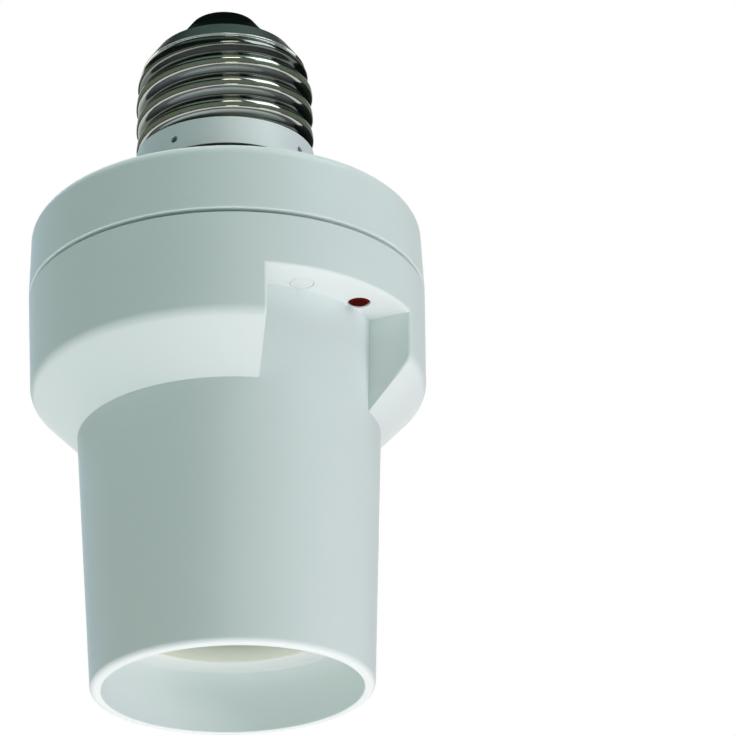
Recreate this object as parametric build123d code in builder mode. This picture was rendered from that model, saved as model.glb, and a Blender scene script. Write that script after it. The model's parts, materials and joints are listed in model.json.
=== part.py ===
"""Dimmable lamp socket adapter: a screw cap on top, a lamp socket inside the skirt below.

Millimetres. +Z points up, from the skirt's rim to the screw cap. The origin is the centre of the
rim's plane, and the notch in the body's side faces -Y.
"""

from build123d import *
import math
import os

os.makedirs("parts", exist_ok=True)

FRONT = -90  # the notch's direction, in degrees about Z from +X

# Skirt: a tube round the lamp's neck that widens upwards
rim_r = 19.47
skirt_top_r = 21.41
skirt_top_z = 37.13
skirt_wall = 1.5
skirt_slope = (skirt_top_r - rim_r) / skirt_top_z
rim_round = 0.35
corner_round = 0.3
inner_round = 1.5

# Ledge inside the skirt, which carries the lampholder
ledge_z = 9.1
ledge_thickness = 1.6
ledge_top_z = ledge_z + ledge_thickness
mouth_r = 14.0

# Body above the shoulder
body_foot_r = 28.08
body_foot_z = 44.0
shoulder_round = 2.4
seam_r = 28.46
housing_top_z = 58.65
seam_gap = 0.6
body_inner_r = 26.0
shoulder_inner_z = 37.7
body_inner_foot_z = 44.1
lip_r = 26.9
lip_top_z = 61.2

# Notch in the body's side, open outwards and downwards
notch_half_angle = 26.8
notch_roof_z = 51.0
notch_wall = 1.6
notch_side_angle = 4.0
part_circle_r = 23.75
part_angle = 12.4
led_hole_r = 1.6
button_hole_r = 1.7

# Top cover
cover_foot_z = housing_top_z + seam_gap
cover_r = 28.48
cover_corner_r = 28.17
cover_corner_z = 69.0
cover_round = 2.3
neck_r = 13.15
neck_z = 77.3
relief_r = 11.9
relief_h = 0.6
cover_inner_r = 26.4
cover_inner_z = 67.74
roof_inner_round = 1
spigot_band_r = 12.6
spigot_thread_r = 11.55
spigot_step_z = 80.7
spigot_step_h = 0.6
spigot_top_z = 94.0
spigot_inner_r = 9.8
spigot_round = 0.4

# Screw shell: the 27 mm lamp cap, 7 threads to the inch
thread_pitch = 25.4 / 7
shell_crest_r = 13.1
shell_root_r = 12.1
shell_foot_z = 77.65
shell_band_inner_r = 12.7
shell_band_z = 82.0
shell_thread_inner_r = 11.7
shell_crest_end_z = 92.75
bead_r = 12.5
bead_z = 95.5
bead_round = 1
score_r = 11.95
score_z = 96.3
cone_foot_r = 12.15
cone_foot_z = 96.55
shell_top_r = 10.2
shell_top_z = 99.3
shell_inner_cone_z = 95.8
shell_top_inner_r = 9.85
shell_top_inner_z = 98.95
shell_shoulder_round = 3
first_groove_z = 82.38
last_groove_z = 94.4
first_groove_direction = 202
dimple_z = 79.7
dimple_r = 0.55
dimple_depth = 0.75
dimple_wall_r = 0.9
dimple_wall_taper = 25
dimple_taper = 15
recess_r = 1.1
dimple_directions = (18, 108, 198, 288)

# Insulator and centre contact of the cap
insulator_foot_z = 97.6
insulator_flange_r = 10.05
insulator_flange_z = 98.3
insulator_foot_r = 9.7
insulator_waist_r = 6.4
insulator_waist_z = 102.5
insulator_r = 4.8
insulator_top_z = 104.7
contact_dome_r = 3.5
contact_dome_h = 0.8
contact_shank_r = 1.2
contact_shank_z = 97.2

# Lampholder
holder_r = 17.5
holder_bore_r = 13.9
holder_floor_z = 38.0
holder_floor_top_z = 42.0
holder_well_r = 15.0
holder_top_z = 46.5
ear_reach_r = 22.2
ear_half_width = 3.2
ear_z = 44.6
boss_r = 3.0
pilot_hole_r = 1.45
pilot_hole_depth = 3.7

# Lamp thread shell
lamp_shell_r = 13.75
lamp_shell_foot_z = 15.0
lamp_crest_r = 12.25
lamp_root_r = 13.35
lamp_thread_end_z = 34.0
lamp_first_groove_z = 17.0
lamp_last_groove_z = 32.5
lug_thickness = 0.5
lug_half_width = 3.0
lug_reach_r = 8.5
lug_rivet_y = 11.0

# Lamp contact: a strip of spring brass, split where it bends
strip_thickness = 0.5
strip_half_width = 2.3
strip_rivet_x = -10.0
strip_hinge_x = -7.5
strip_hinge_z = 37.7

# Circuit board and what stands on it
board_z = 57.0
board_thickness = 1.6
board_top_z = board_z + board_thickness
board_r = 25.8
post_circle_r = 22.9
post_directions = (90, 205, 335)
post_r = 2.2
post_hole_r = 1.2
post_hole_depth = 7.0
wire_r = 0.75
wire_rise_z = 70


def on_circle(radius, direction):
    """The point at a radius from the axis, in a direction in degrees from +X."""
    angle = math.radians(direction)
    return (radius * math.cos(angle), radius * math.sin(angle))


led_place = on_circle(part_circle_r, FRONT + part_angle)
button_place = on_circle(part_circle_r, FRONT - part_angle)
post_places = [on_circle(post_circle_r, direction) for direction in post_directions]
ear_places = [(-ear_reach_r, 0), (ear_reach_r, 0)]


def skirt_outer_r(z):
    """Radius of the skirt's outer face at a height."""
    return rim_r + skirt_slope * z


def arc_plate(inner_r, outer_r, middle, half_angle):
    """A flat plate between two radii, half_angle to each side of the direction middle."""
    with BuildLine() as border:
        inner = CenterArc((0, 0), inner_r, middle - half_angle, arc_size=2 * half_angle)
        outer = CenterArc((0, 0), outer_r, middle - half_angle, arc_size=2 * half_angle)
        Line(inner @ 0, outer @ 0)
        Line(inner @ 1, outer @ 1)
    make_face(border.edges())


def outline(*points, radius=0):
    """A closed outline through the points, its corners rounded where radius says."""
    with BuildLine() as border:
        FilletPolyline(*points, radius=radius, close=True)
    make_face(border.edges())


def housing_outline():
    """Half section of the housing's outer form, filled to the axis."""
    outline(
        (0, 0),
        (rim_r, 0),
        (skirt_top_r, skirt_top_z),
        (body_foot_r, body_foot_z),
        (seam_r, housing_top_z),
        (lip_r, housing_top_z),
        (lip_r, lip_top_z),
        (0, lip_top_z),
        radius=[0, rim_round, corner_round, shoulder_round, corner_round / 2, 0, corner_round, 0],
    )


# The space of the notch: a sector round the skirt's cone, up to the roof
notch_foot_z = skirt_top_z - 4
with BuildPart() as notch_space:
    with BuildSketch(Plane.XY.offset(notch_foot_z)):
        arc_plate(skirt_top_r / 2, body_foot_r * 1.5, FRONT, notch_half_angle)
    extrude(amount=notch_roof_z - notch_foot_z)
    with BuildSketch(Plane.XZ):
        outline(
            (0, 0),
            (rim_r, 0),
            (skirt_outer_r(neck_z), neck_z),
            (0, neck_z),
        )
    revolve(axis=Axis.Z, mode=Mode.SUBTRACT)

# Main housing: skirt, ledge, shoulder, body wall and notch
with BuildPart() as main_housing:
    with BuildSketch(Plane.XZ):
        housing_outline()
    revolve(axis=Axis.Z)
    # hollow below the ledge, with a drafted wall
    with BuildSketch(Plane.XZ):
        outline(
            (0, -1),
            (rim_r - skirt_wall - skirt_slope, -1),
            (skirt_outer_r(ledge_z) - skirt_wall - 0.1, ledge_z),
            (0, ledge_z),
            radius=[0, 0, corner_round, 0],
        )
    revolve(axis=Axis.Z, mode=Mode.SUBTRACT)
    # hollow above the ledge: lampholder chamber, shoulder and body
    with BuildSketch(Plane.XZ):
        outline(
            (0, ledge_top_z),
            (skirt_outer_r(ledge_top_z) - notch_wall, ledge_top_z),
            (skirt_top_r - notch_wall, shoulder_inner_z),
            (body_inner_r, body_inner_foot_z),
            (body_inner_r, lip_top_z + 1),
            (0, lip_top_z + 1),
            radius=[0, corner_round, 0.5, inner_round, 0, 0],
        )
    revolve(axis=Axis.Z, mode=Mode.SUBTRACT)
    with BuildSketch(Plane.XY.offset(ledge_z - 1)):
        Circle(mouth_r)
    extrude(amount=ledge_thickness + 2, mode=Mode.SUBTRACT)
    # bosses for the lampholder's ears and posts for the board
    with BuildSketch(Plane.XY.offset(skirt_top_z)):
        with Locations(*ear_places):
            Circle(boss_r)
    extrude(amount=ear_z - skirt_top_z)
    with BuildSketch(Plane.XY.offset(skirt_top_z)):
        with Locations(*post_places):
            Circle(post_r)
    extrude(amount=board_z - skirt_top_z)
    # the notch's own walls, then the notch
    with BuildSketch(Plane.XY.offset(skirt_top_z)):
        arc_plate(
            skirt_top_r - notch_wall,
            body_inner_r + 1,
            FRONT,
            notch_half_angle + notch_side_angle,
        )
    extrude(amount=notch_roof_z + notch_wall - skirt_top_z)
    with BuildSketch(Plane.XZ):
        housing_outline()
    revolve(axis=Axis.Z, mode=Mode.INTERSECT)
    add(notch_space.part, mode=Mode.SUBTRACT)
    # holes: LED, button, lampholder screws and board screws
    with Locations((*led_place, notch_roof_z)):
        Cylinder(led_hole_r, 4 * notch_wall, mode=Mode.SUBTRACT)
    with Locations((*button_place, notch_roof_z)):
        Cylinder(button_hole_r, 4 * notch_wall, mode=Mode.SUBTRACT)
    with Locations(*[(x, y, ear_z) for x, y in ear_places]):
        Cylinder(pilot_hole_r, 2 * pilot_hole_depth, mode=Mode.SUBTRACT)
    with Locations(*[(x, y, board_z) for x, y in post_places]):
        Cylinder(post_hole_r, 2 * post_hole_depth, mode=Mode.SUBTRACT)
main_housing.part.label = "main_housing"
export_step(main_housing.part, "parts/main_housing.step")

# Top cover: wall, sloping roof, neck and the spigot inside the screw shell
with BuildPart() as top_cover:
    with BuildSketch(Plane.XZ):
        outline(
            (lip_r + 0.1, cover_foot_z),
            (cover_r, cover_foot_z),
            (cover_corner_r, cover_corner_z),
            (neck_r, neck_z),
            (relief_r, neck_z),
            (relief_r, neck_z + relief_h),
            (spigot_band_r, neck_z + relief_h),
            (spigot_band_r, spigot_step_z),
            (spigot_thread_r, spigot_step_z + spigot_step_h),
            (spigot_thread_r, spigot_top_z),
            (spigot_inner_r, spigot_top_z),
            (spigot_inner_r, neck_z),
            (cover_inner_r, cover_inner_z),
            (cover_inner_r, lip_top_z),
            (lip_r + 0.1, lip_top_z),
            radius=[
                *(0, corner_round / 2, cover_round, corner_round, 0, 0, 0, 0, 0),
                *(spigot_round, spigot_round, roof_inner_round, roof_inner_round, 0, 0),
            ],
        )
    revolve(axis=Axis.Z)
    # recesses that the shell is staked into
    with BuildSketch(Plane.XY.offset(dimple_z - recess_r)):
        with Locations(*[on_circle(spigot_band_r, direction) for direction in dimple_directions]):
            Circle(recess_r)
    extrude(amount=2 * recess_r, mode=Mode.SUBTRACT)
top_cover.part.label = "top_cover"
export_step(top_cover.part, "parts/top_cover.step")


def thread_groove(radius, start_z, end_z, start_direction, depth_r, open_r):
    """The body of a rounded, right-handed helical groove, open at open_r and deepest at depth_r."""
    half_width = 0.36 * thread_pitch
    with BuildPart() as groove:
        with BuildLine():
            path = Helix(thread_pitch, end_z - start_z, radius, center=(0, 0, start_z))
        with BuildSketch(Plane.XZ):
            with BuildLine():
                ThreePointArc(
                    (open_r, start_z - half_width),
                    (depth_r, start_z),
                    (open_r, start_z + half_width),
                )
                Line((open_r, start_z + half_width), (open_r, start_z - half_width))
            make_face()
        sweep(path=path, is_frenet=True)
    return groove.part.rotate(Axis.Z, start_direction)


# Screw shell: plain band, rolled thread, a bead with a scored line over it, and the cone to the
# insulator
shell_groove = thread_groove(
    shell_crest_r,
    first_groove_z,
    last_groove_z,
    first_groove_direction,
    shell_root_r,
    shell_crest_r + 0.4,
)
with BuildPart() as screw_shell:
    with BuildSketch(Plane.XZ):
        outline(
            (shell_band_inner_r, shell_foot_z),
            (shell_crest_r - 0.05, shell_foot_z),
            (shell_crest_r, shell_band_z),
            (shell_crest_r, shell_crest_end_z),
            (bead_r, bead_z),
            (score_r, score_z),
            (cone_foot_r, cone_foot_z),
            (shell_top_r, shell_top_z),
            (shell_top_inner_r, shell_top_inner_z),
            (shell_thread_inner_r, shell_inner_cone_z),
            (shell_thread_inner_r, spigot_step_z + spigot_step_h),
            (shell_band_inner_r, spigot_step_z),
            radius=[0, 0, 0, shell_shoulder_round, bead_round, 0, 0.1, 0, 0, 0, 0, 0],
        )
    revolve(axis=Axis.Z)
    add(shell_groove, mode=Mode.SUBTRACT)
    # staking dimples, pressed in from outside
    for direction in dimple_directions:
        at_band = Plane(
            origin=(*on_circle(shell_band_inner_r, direction), dimple_z),
            z_dir=(-math.cos(math.radians(direction)), -math.sin(math.radians(direction)), 0),
        )
        with BuildSketch(at_band.offset(-0.1)):
            Circle(dimple_wall_r)
        extrude(amount=dimple_depth, taper=dimple_wall_taper)
        with BuildSketch(at_band.offset(-0.6)):
            Circle(dimple_r)
        extrude(amount=dimple_depth + 0.1, taper=dimple_taper, mode=Mode.SUBTRACT)
screw_shell.part.label = "screw_shell"
export_step(screw_shell.part, "parts/screw_shell.step")

# Cap insulator: black glass cone, its flange held in the shell's end, with the contact's bore
with BuildPart() as cap_insulator:
    with BuildSketch(Plane.XZ):
        outline(
            (contact_shank_r + 0.05, insulator_foot_z),
            (insulator_flange_r, insulator_foot_z),
            (insulator_flange_r, insulator_flange_z),
            (insulator_foot_r, shell_top_z),
            (insulator_waist_r, insulator_waist_z),
            (insulator_r, insulator_top_z),
            (contact_shank_r + 0.05, insulator_top_z),
            radius=[0, 0.2, 0, 0, 1, 0.5, 0],
        )
    revolve(axis=Axis.Z)
cap_insulator.part.label = "cap_insulator"
export_step(cap_insulator.part, "parts/cap_insulator.step")

# Centre contact: low solder dome on a shank
with BuildPart() as centre_contact:
    with BuildSketch(Plane.XZ):
        with BuildLine():
            ThreePointArc(
                (0, insulator_top_z + contact_dome_h),
                (contact_dome_r * 0.6, insulator_top_z + contact_dome_h * 0.7),
                (contact_dome_r, insulator_top_z),
            )
            Polyline(
                (contact_dome_r, insulator_top_z),
                (contact_shank_r, insulator_top_z),
                (contact_shank_r, contact_shank_z),
                (0, contact_shank_z),
                (0, insulator_top_z + contact_dome_h),
            )
        make_face()
    revolve(axis=Axis.Z)
centre_contact.part.label = "centre_contact"
export_step(centre_contact.part, "parts/centre_contact.step")

# Indicator LED: 3 mm, its flat end level with the notch's roof
led_r = 1.5
led_round = 0.4
led_flange_r = 1.9
led_flange_z = 53.2
led_top_z = 54.2
with BuildPart() as indicator_led:
    with BuildSketch(Plane.XY.offset(notch_roof_z)):
        with Locations(led_place):
            Circle(led_r)
    extrude(amount=led_flange_z - notch_roof_z)
    fillet(edges().sort_by(Axis.Z)[0], led_round)
    with BuildSketch(Plane.XY.offset(led_flange_z)):
        with Locations(led_place):
            Circle(led_flange_r)
    extrude(amount=led_top_z - led_flange_z)
indicator_led.part.label = "indicator_led"
export_step(indicator_led.part, "parts/indicator_led.step")

leg_pitch = 1.27
leg_half = 0.25
with BuildPart() as led_legs:
    with BuildSketch(Plane.XY.offset(led_top_z)):
        for side in (-leg_pitch, leg_pitch):
            with Locations((led_place[0] + side, led_place[1])):
                Rectangle(2 * leg_half, 2 * leg_half)
    extrude(amount=board_top_z + 0.8 - led_top_z)
led_legs.part.label = "led_legs"
export_step(led_legs.part, "parts/led_legs.step")

# Pairing button: a flanged cap in the roof's hole, flush with the roof
button_r = 1.65
button_flange_r = 2.15
button_flange_z = notch_roof_z + notch_wall + 0.05
button_top_z = 53.4
with BuildPart() as pairing_button:
    with BuildSketch(Plane.XY.offset(notch_roof_z)):
        with Locations(button_place):
            Circle(button_r)
    extrude(amount=button_flange_z - notch_roof_z)
    fillet(edges().sort_by(Axis.Z)[0], 0.2)
    with BuildSketch(Plane.XY.offset(button_flange_z)):
        with Locations(button_place):
            Circle(button_flange_r)
    extrude(amount=button_top_z - button_flange_z)
pairing_button.part.label = "pairing_button"
export_step(pairing_button.part, "parts/pairing_button.step")

# Push switch behind the button: square body with a socket, and its plunger
switch_foot_z = 54.2
switch_half = 2.0
plunger_r = 1.1
button_radial = Plane.XY.rotated((0, 0, -part_angle))
with BuildPart() as switch_body:
    with BuildSketch(button_radial.offset(switch_foot_z)):
        with Locations((0, -part_circle_r)):
            Rectangle(2 * switch_half, 2 * switch_half)
    extrude(amount=board_z - switch_foot_z)
    chamfer(edges().filter_by(Axis.Z), 0.25)
    with BuildSketch(button_radial.offset(switch_foot_z)):
        with Locations((0, -part_circle_r)):
            Circle(plunger_r + 0.05)
    extrude(amount=1.6, mode=Mode.SUBTRACT)
switch_body.part.label = "switch_body"
export_step(switch_body.part, "parts/switch_body.step")

with BuildPart() as switch_plunger:
    with BuildSketch(Plane.XY.offset(button_top_z)):
        with Locations(button_place):
            Circle(plunger_r)
    extrude(amount=switch_foot_z + 1.0 - button_top_z)
switch_plunger.part.label = "switch_plunger"
export_step(switch_plunger.part, "parts/switch_plunger.step")

# Lampholder body: cup with a floor, a well for the terminals and two ears
rivet_hole_r = 1.25
with BuildPart() as lampholder_body:
    with BuildSketch(Plane.XY.offset(ledge_top_z)):
        Circle(holder_r)
    extrude(amount=holder_top_z - ledge_top_z)
    chamfer(edges().group_by(Axis.Z)[0], 0.4)
    with BuildSketch(Plane.XY.offset(ear_z)):
        with Locations(*ear_places):
            Circle(ear_half_width)
        Rectangle(2 * ear_reach_r, 2 * ear_half_width)
    extrude(amount=holder_top_z - ear_z)
    with BuildSketch(Plane.XY.offset(ledge_top_z)):
        Circle(holder_bore_r)
    extrude(amount=holder_floor_z - ledge_top_z, mode=Mode.SUBTRACT)
    with BuildSketch(Plane.XY.offset(holder_floor_top_z)):
        Circle(holder_well_r)
    extrude(amount=holder_top_z - holder_floor_top_z, mode=Mode.SUBTRACT)
    with Locations(*[(x, y, ear_z) for x, y in ear_places]):
        Cylinder(1.7, 8, mode=Mode.SUBTRACT)
    with Locations(
        (strip_rivet_x, 0, holder_floor_z),
        (0, lug_rivet_y, holder_floor_z),
        (0, -lug_rivet_y, holder_floor_z),
    ):
        Cylinder(rivet_hole_r, 12, mode=Mode.SUBTRACT)
lampholder_body.part.label = "lampholder_body"
export_step(lampholder_body.part, "parts/lampholder_body.step")

# Lamp thread shell: threaded tube with two lugs turned in over the floor
lamp_groove = thread_groove(
    lamp_crest_r,
    lamp_first_groove_z,
    lamp_last_groove_z,
    0,
    lamp_root_r,
    lamp_crest_r - 0.4,
)
lug_z = holder_floor_z - lug_thickness
with BuildPart() as lamp_thread_shell:
    with BuildSketch(Plane.XZ):
        outline(
            (lamp_root_r, lamp_shell_foot_z),
            (lamp_shell_r, lamp_shell_foot_z),
            (lamp_shell_r, holder_floor_z),
            (lamp_root_r - 0.1, holder_floor_z),
            (lamp_root_r - 0.1, lamp_thread_end_z + 0.8),
            (lamp_crest_r, lamp_thread_end_z),
            (lamp_crest_r, lamp_shell_foot_z + 1),
        )
    revolve(axis=Axis.Z)
    add(lamp_groove, mode=Mode.SUBTRACT)
    with BuildSketch(Plane.XY.offset(lug_z)):
        for side in (-1, 1):
            with Locations((0, side * (lug_reach_r + lamp_shell_r - 0.4) / 2)):
                Rectangle(2 * lug_half_width, lamp_shell_r - 0.4 - lug_reach_r)
    extrude(amount=lug_thickness)
    with Locations((0, lug_rivet_y, lug_z), (0, -lug_rivet_y, lug_z)):
        Cylinder(rivet_hole_r, 3, mode=Mode.SUBTRACT)
lamp_thread_shell.part.label = "lamp_thread_shell"
export_step(lamp_thread_shell.part, "parts/lamp_thread_shell.step")


def rivet(x, y, lower_z, upper_z, head_r=2.0, head_h=0.8):
    """A rivet standing along Z, its shank from lower_z to upper_z, with a head at each end."""
    shank_r = rivet_hole_r - 0.05
    with BuildPart() as piece:
        with Locations((x, y, lower_z)):
            Cylinder(shank_r, upper_z - lower_z, align=(Align.CENTER, Align.CENTER, Align.MIN))
        with Locations((x, y, upper_z)):
            Cylinder(head_r, head_h, align=(Align.CENTER, Align.CENTER, Align.MIN))
        with Locations((x, y, lower_z)):
            Cylinder(head_r, head_h, align=(Align.CENTER, Align.CENTER, Align.MAX))
        fillet(edges().group_by(Axis.Z)[0] + edges().group_by(Axis.Z)[-1], 0.5)
    return piece.part


# Rivets of the thread shell and of the centre contact, and the two terminals
terminal_thickness = 0.5
terminal_width = 3.2
terminal_eye_r = 2.4
terminal_top_z = holder_floor_top_z + terminal_thickness
tab_top_z = 45.6
with BuildPart() as shell_rivets:
    add(rivet(0, lug_rivet_y, lug_z, terminal_top_z))
    add(rivet(0, -lug_rivet_y, lug_z, holder_floor_top_z))
shell_rivets.part.label = "shell_rivets"
export_step(shell_rivets.part, "parts/shell_rivets.step")

with BuildPart() as contact_rivet:
    add(rivet(strip_rivet_x, 0, holder_floor_z - strip_thickness, terminal_top_z))
contact_rivet.part.label = "contact_rivet"
export_step(contact_rivet.part, "parts/contact_rivet.step")


def terminal(x, y, tab_x):
    """A solder terminal: a holed foot on the lampholder's floor and an upright tab."""
    with BuildPart() as piece:
        with BuildSketch(Plane.XY.offset(holder_floor_top_z)):
            with Locations(((x + tab_x) / 2, y)):
                Rectangle(abs(tab_x - x) + terminal_thickness, terminal_width)
            with Locations((x, y)):
                Circle(terminal_eye_r)
                Circle(rivet_hole_r, mode=Mode.SUBTRACT)
        extrude(amount=terminal_thickness)
        with BuildSketch(Plane.XY.offset(holder_floor_top_z)):
            with Locations((tab_x, y)):
                Rectangle(terminal_thickness, terminal_width)
        extrude(amount=tab_top_z - holder_floor_top_z)
    return piece.part


contact_tab_x = -5.5
shell_tab_x = 4.5
with BuildPart() as contact_terminal:
    add(terminal(strip_rivet_x, 0, contact_tab_x))
contact_terminal.part.label = "contact_terminal"
export_step(contact_terminal.part, "parts/contact_terminal.step")

with BuildPart() as shell_terminal:
    add(terminal(0, lug_rivet_y, shell_tab_x))
shell_terminal.part.label = "shell_terminal"
export_step(shell_terminal.part, "parts/shell_terminal.step")

# Contact strip: the riveted foot, and the tongue that bends
strip_gap = 0.1
strip_low_x = strip_rivet_x - 2.4
strip_high_x = strip_hinge_x - strip_gap
tongue_bend_place = (-2.2, 35.75)
tongue_low_place = (0, 35.35)
tongue_tip_place = (2.2, 35.95)
tongue_round = 2.5
with BuildPart() as contact_base:
    with BuildSketch(Plane.XY.offset(holder_floor_z - strip_thickness)):
        with Locations(((strip_low_x + strip_high_x) / 2, 0)):
            Rectangle(strip_high_x - strip_low_x, 2 * strip_half_width)
        with Locations((strip_rivet_x, 0)):
            Circle(rivet_hole_r, mode=Mode.SUBTRACT)
    extrude(amount=strip_thickness)
contact_base.part.label = "contact_base"
export_step(contact_base.part, "parts/contact_base.step")

with BuildPart() as contact_tongue:
    with BuildSketch(Plane.XZ):
        with BuildLine() as bend:
            FilletPolyline(
                (strip_hinge_x + 0.05, strip_hinge_z - 0.02),
                tongue_bend_place,
                tongue_low_place,
                tongue_tip_place,
                radius=tongue_round,
            )
        trace(bend.edges(), strip_thickness)
    extrude(amount=strip_half_width - 0.2, both=True)
contact_tongue.part.label = "contact_tongue"
export_step(contact_tongue.part, "parts/contact_tongue.step")


def pan_screws(places, seat_z, head_r, head_h, shank_r, length):
    """Slotted pan-head screws pointing down, their heads on seat_z, as separate solids."""
    with BuildPart() as group:
        with Locations(*[(x, y, seat_z) for x, y in places]):
            Cylinder(head_r, head_h, align=(Align.CENTER, Align.CENTER, Align.MIN))
        fillet(edges().group_by(Axis.Z)[-1], 0.4 * head_h)
        with Locations(*[(x, y, seat_z) for x, y in places]):
            Cylinder(shank_r, length, align=(Align.CENTER, Align.CENTER, Align.MAX))
        chamfer(edges().group_by(Axis.Z)[0], 0.3 * shank_r)
        with Locations(*[(x, y, seat_z + head_h) for x, y in places]):
            Box(3 * head_r, 0.25 * head_r, head_h, mode=Mode.SUBTRACT)
    return group.part


ear_screw_head_r = 2.8
ear_screw_head_h = 1.6
ear_screw_r = 1.4
ear_screw_length = 5.4
with BuildPart() as lampholder_screws:
    add(
        pan_screws(
            ear_places,
            holder_top_z,
            ear_screw_head_r,
            ear_screw_head_h,
            ear_screw_r,
            ear_screw_length,
        )
    )
lampholder_screws.part.label = "lampholder_screws"
export_step(lampholder_screws.part, "parts/lampholder_screws.step")

small_screw_head_r = 2.2
small_screw_r = 1.15
post_screw_head_h = 1.3
post_screw_length = 7.5
with BuildPart() as pcb_screws:
    add(
        pan_screws(
            post_places,
            board_top_z,
            small_screw_head_r,
            post_screw_head_h,
            small_screw_r,
            post_screw_length,
        )
    )
pcb_screws.part.label = "pcb_screws"
export_step(pcb_screws.part, "parts/pcb_screws.step")

# Main board
board_hole_r = 1.4
leg_hole_r = 0.45
with BuildPart() as main_pcb:
    with BuildSketch(Plane.XY.offset(board_z)):
        Circle(board_r)
        with Locations(*post_places):
            Circle(board_hole_r, mode=Mode.SUBTRACT)
        for side in (-leg_pitch, leg_pitch):
            with Locations((led_place[0] + side, led_place[1])):
                Circle(leg_hole_r, mode=Mode.SUBTRACT)
    extrude(amount=board_thickness)
main_pcb.part.label = "main_pcb"
export_step(main_pcb.part, "parts/main_pcb.step")

# Dimmer switch lying on its heatsink
triac_x = -11.5
triac_y = 8.5
plate_thickness = 1.5
plate_top_z = board_top_z + plate_thickness
plate_width = 13
plate_length = 15
plate_hole_r = 1.2
fin_x = triac_x - 5.9
fin_thickness = 1.2
fin_height = 5
triac_screw_y = triac_y + 4.9
with BuildPart() as heatsink:
    with BuildSketch(Plane.XY.offset(board_top_z)):
        with Locations((triac_x, triac_y)):
            Rectangle(plate_width, plate_length)
    extrude(amount=plate_thickness)
    with BuildSketch(Plane.XY.offset(plate_top_z)):
        with Locations((triac_x, triac_screw_y)):
            Circle(plate_hole_r)
    extrude(amount=-plate_thickness, mode=Mode.SUBTRACT)
    with BuildSketch(Plane.XY.offset(plate_top_z)):
        with Locations((fin_x, triac_y)):
            Rectangle(fin_thickness, plate_length)
    extrude(amount=fin_height)
heatsink.part.label = "heatsink"
export_step(heatsink.part, "parts/heatsink.step")

case_x = triac_x + 0.4
case_width = 10
tab_length = 13.5
tab_thickness = 1.3
case_length = 9.1
case_height = 3.1
tab_hole_r = 1.5
lead_pitch = 2.54
lead_width = 0.8
lead_thickness = 0.6
lead_z = plate_top_z + 1.4
lead_run_y = triac_y - 7.9
lead_run_length = 2.7
lead_drop_y = triac_y - 8.9
lead_drop_depth = 0.7
with BuildPart() as triac:
    with BuildSketch(Plane.XY.offset(plate_top_z)):
        with Locations((case_x, triac_y + 0.2)):
            Rectangle(case_width, tab_length)
    extrude(amount=tab_thickness)
    with BuildSketch(Plane.XY.offset(plate_top_z + tab_thickness)):
        with Locations((case_x, triac_y - 2.0)):
            Rectangle(case_width, case_length)
    extrude(amount=case_height)
    chamfer(faces().sort_by(Axis.Z)[-1].edges(), 0.4)
    for place in (-lead_pitch, 0, lead_pitch):
        with BuildSketch(Plane.XY.offset(lead_z)):
            with Locations((case_x + place, lead_run_y)):
                Rectangle(lead_width, lead_run_length)
        extrude(amount=lead_thickness)
        with BuildSketch(Plane.XY.offset(board_top_z)):
            with Locations((case_x + place, lead_drop_y)):
                Rectangle(lead_width, lead_drop_depth)
        extrude(amount=lead_z + lead_thickness - board_top_z)
    with Locations((triac_x, triac_screw_y, plate_top_z)):
        Cylinder(tab_hole_r, 2 * tab_length, mode=Mode.SUBTRACT)
triac.part.label = "triac"
export_step(triac.part, "parts/triac.step")

triac_screw_head_h = 1.4
triac_screw_length = 2.7
with BuildPart() as triac_screw:
    add(
        pan_screws(
            [(triac_x, triac_screw_y)],
            plate_top_z + tab_thickness,
            small_screw_head_r,
            triac_screw_head_h,
            small_screw_r,
            triac_screw_length,
        )
    )
triac_screw.part.label = "triac_screw"
export_step(triac_screw.part, "parts/triac_screw.step")

# Interference choke: ring core, with the winding as a plain sleeve round it
choke_place = (10.5, 9.0)
choke_mid_z = board_top_z + 4.9
core_r = 8
core_hole_r = 4.6
core_height = 7
winding_r = 9.3
winding_hole_r = 3.3
winding_height = 9.6
winding_round = 1.2
with BuildPart() as choke_core:
    with BuildSketch(Plane.XY.offset(choke_mid_z - core_height / 2)):
        with Locations(choke_place):
            Circle(core_r)
            Circle(core_hole_r, mode=Mode.SUBTRACT)
    extrude(amount=core_height)
choke_core.part.label = "choke_core"
export_step(choke_core.part, "parts/choke_core.step")

with BuildPart() as choke_winding:
    with BuildSketch(Plane.XY.offset(choke_mid_z - winding_height / 2)):
        with Locations(choke_place):
            Circle(winding_r)
            Circle(winding_hole_r, mode=Mode.SUBTRACT)
    extrude(amount=winding_height)
    fillet(edges().filter_by(GeomType.CIRCLE), winding_round)
    with BuildSketch(Plane.XY.offset(choke_mid_z - core_height / 2)):
        with Locations(choke_place):
            Circle(core_r)
            Circle(core_hole_r, mode=Mode.SUBTRACT)
    extrude(amount=core_height, mode=Mode.SUBTRACT)
choke_winding.part.label = "choke_winding"
export_step(choke_winding.part, "parts/choke_winding.step")

# Capacitors
film_place = (0, -14)
film_length = 18
film_depth = 8
film_height = 12
with BuildPart() as film_capacitor:
    with BuildSketch(Plane.XY.offset(board_top_z)):
        with Locations(film_place):
            Rectangle(film_length, film_depth)
    extrude(amount=film_height)
    fillet(edges(), 0.6)
film_capacitor.part.label = "film_capacitor"
export_step(film_capacitor.part, "parts/film_capacitor.step")

can_place = (15.5, -4.5)
can_r = 4
can_height = 11.5
with BuildPart() as electrolytic_capacitor:
    with BuildSketch(Plane.XY.offset(board_top_z)):
        with Locations(can_place):
            Circle(can_r)
    extrude(amount=can_height)
    fillet(edges().group_by(Axis.Z)[-1], 0.6)
electrolytic_capacitor.part.label = "electrolytic_capacitor"
export_step(electrolytic_capacitor.part, "parts/electrolytic_capacitor.step")


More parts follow.
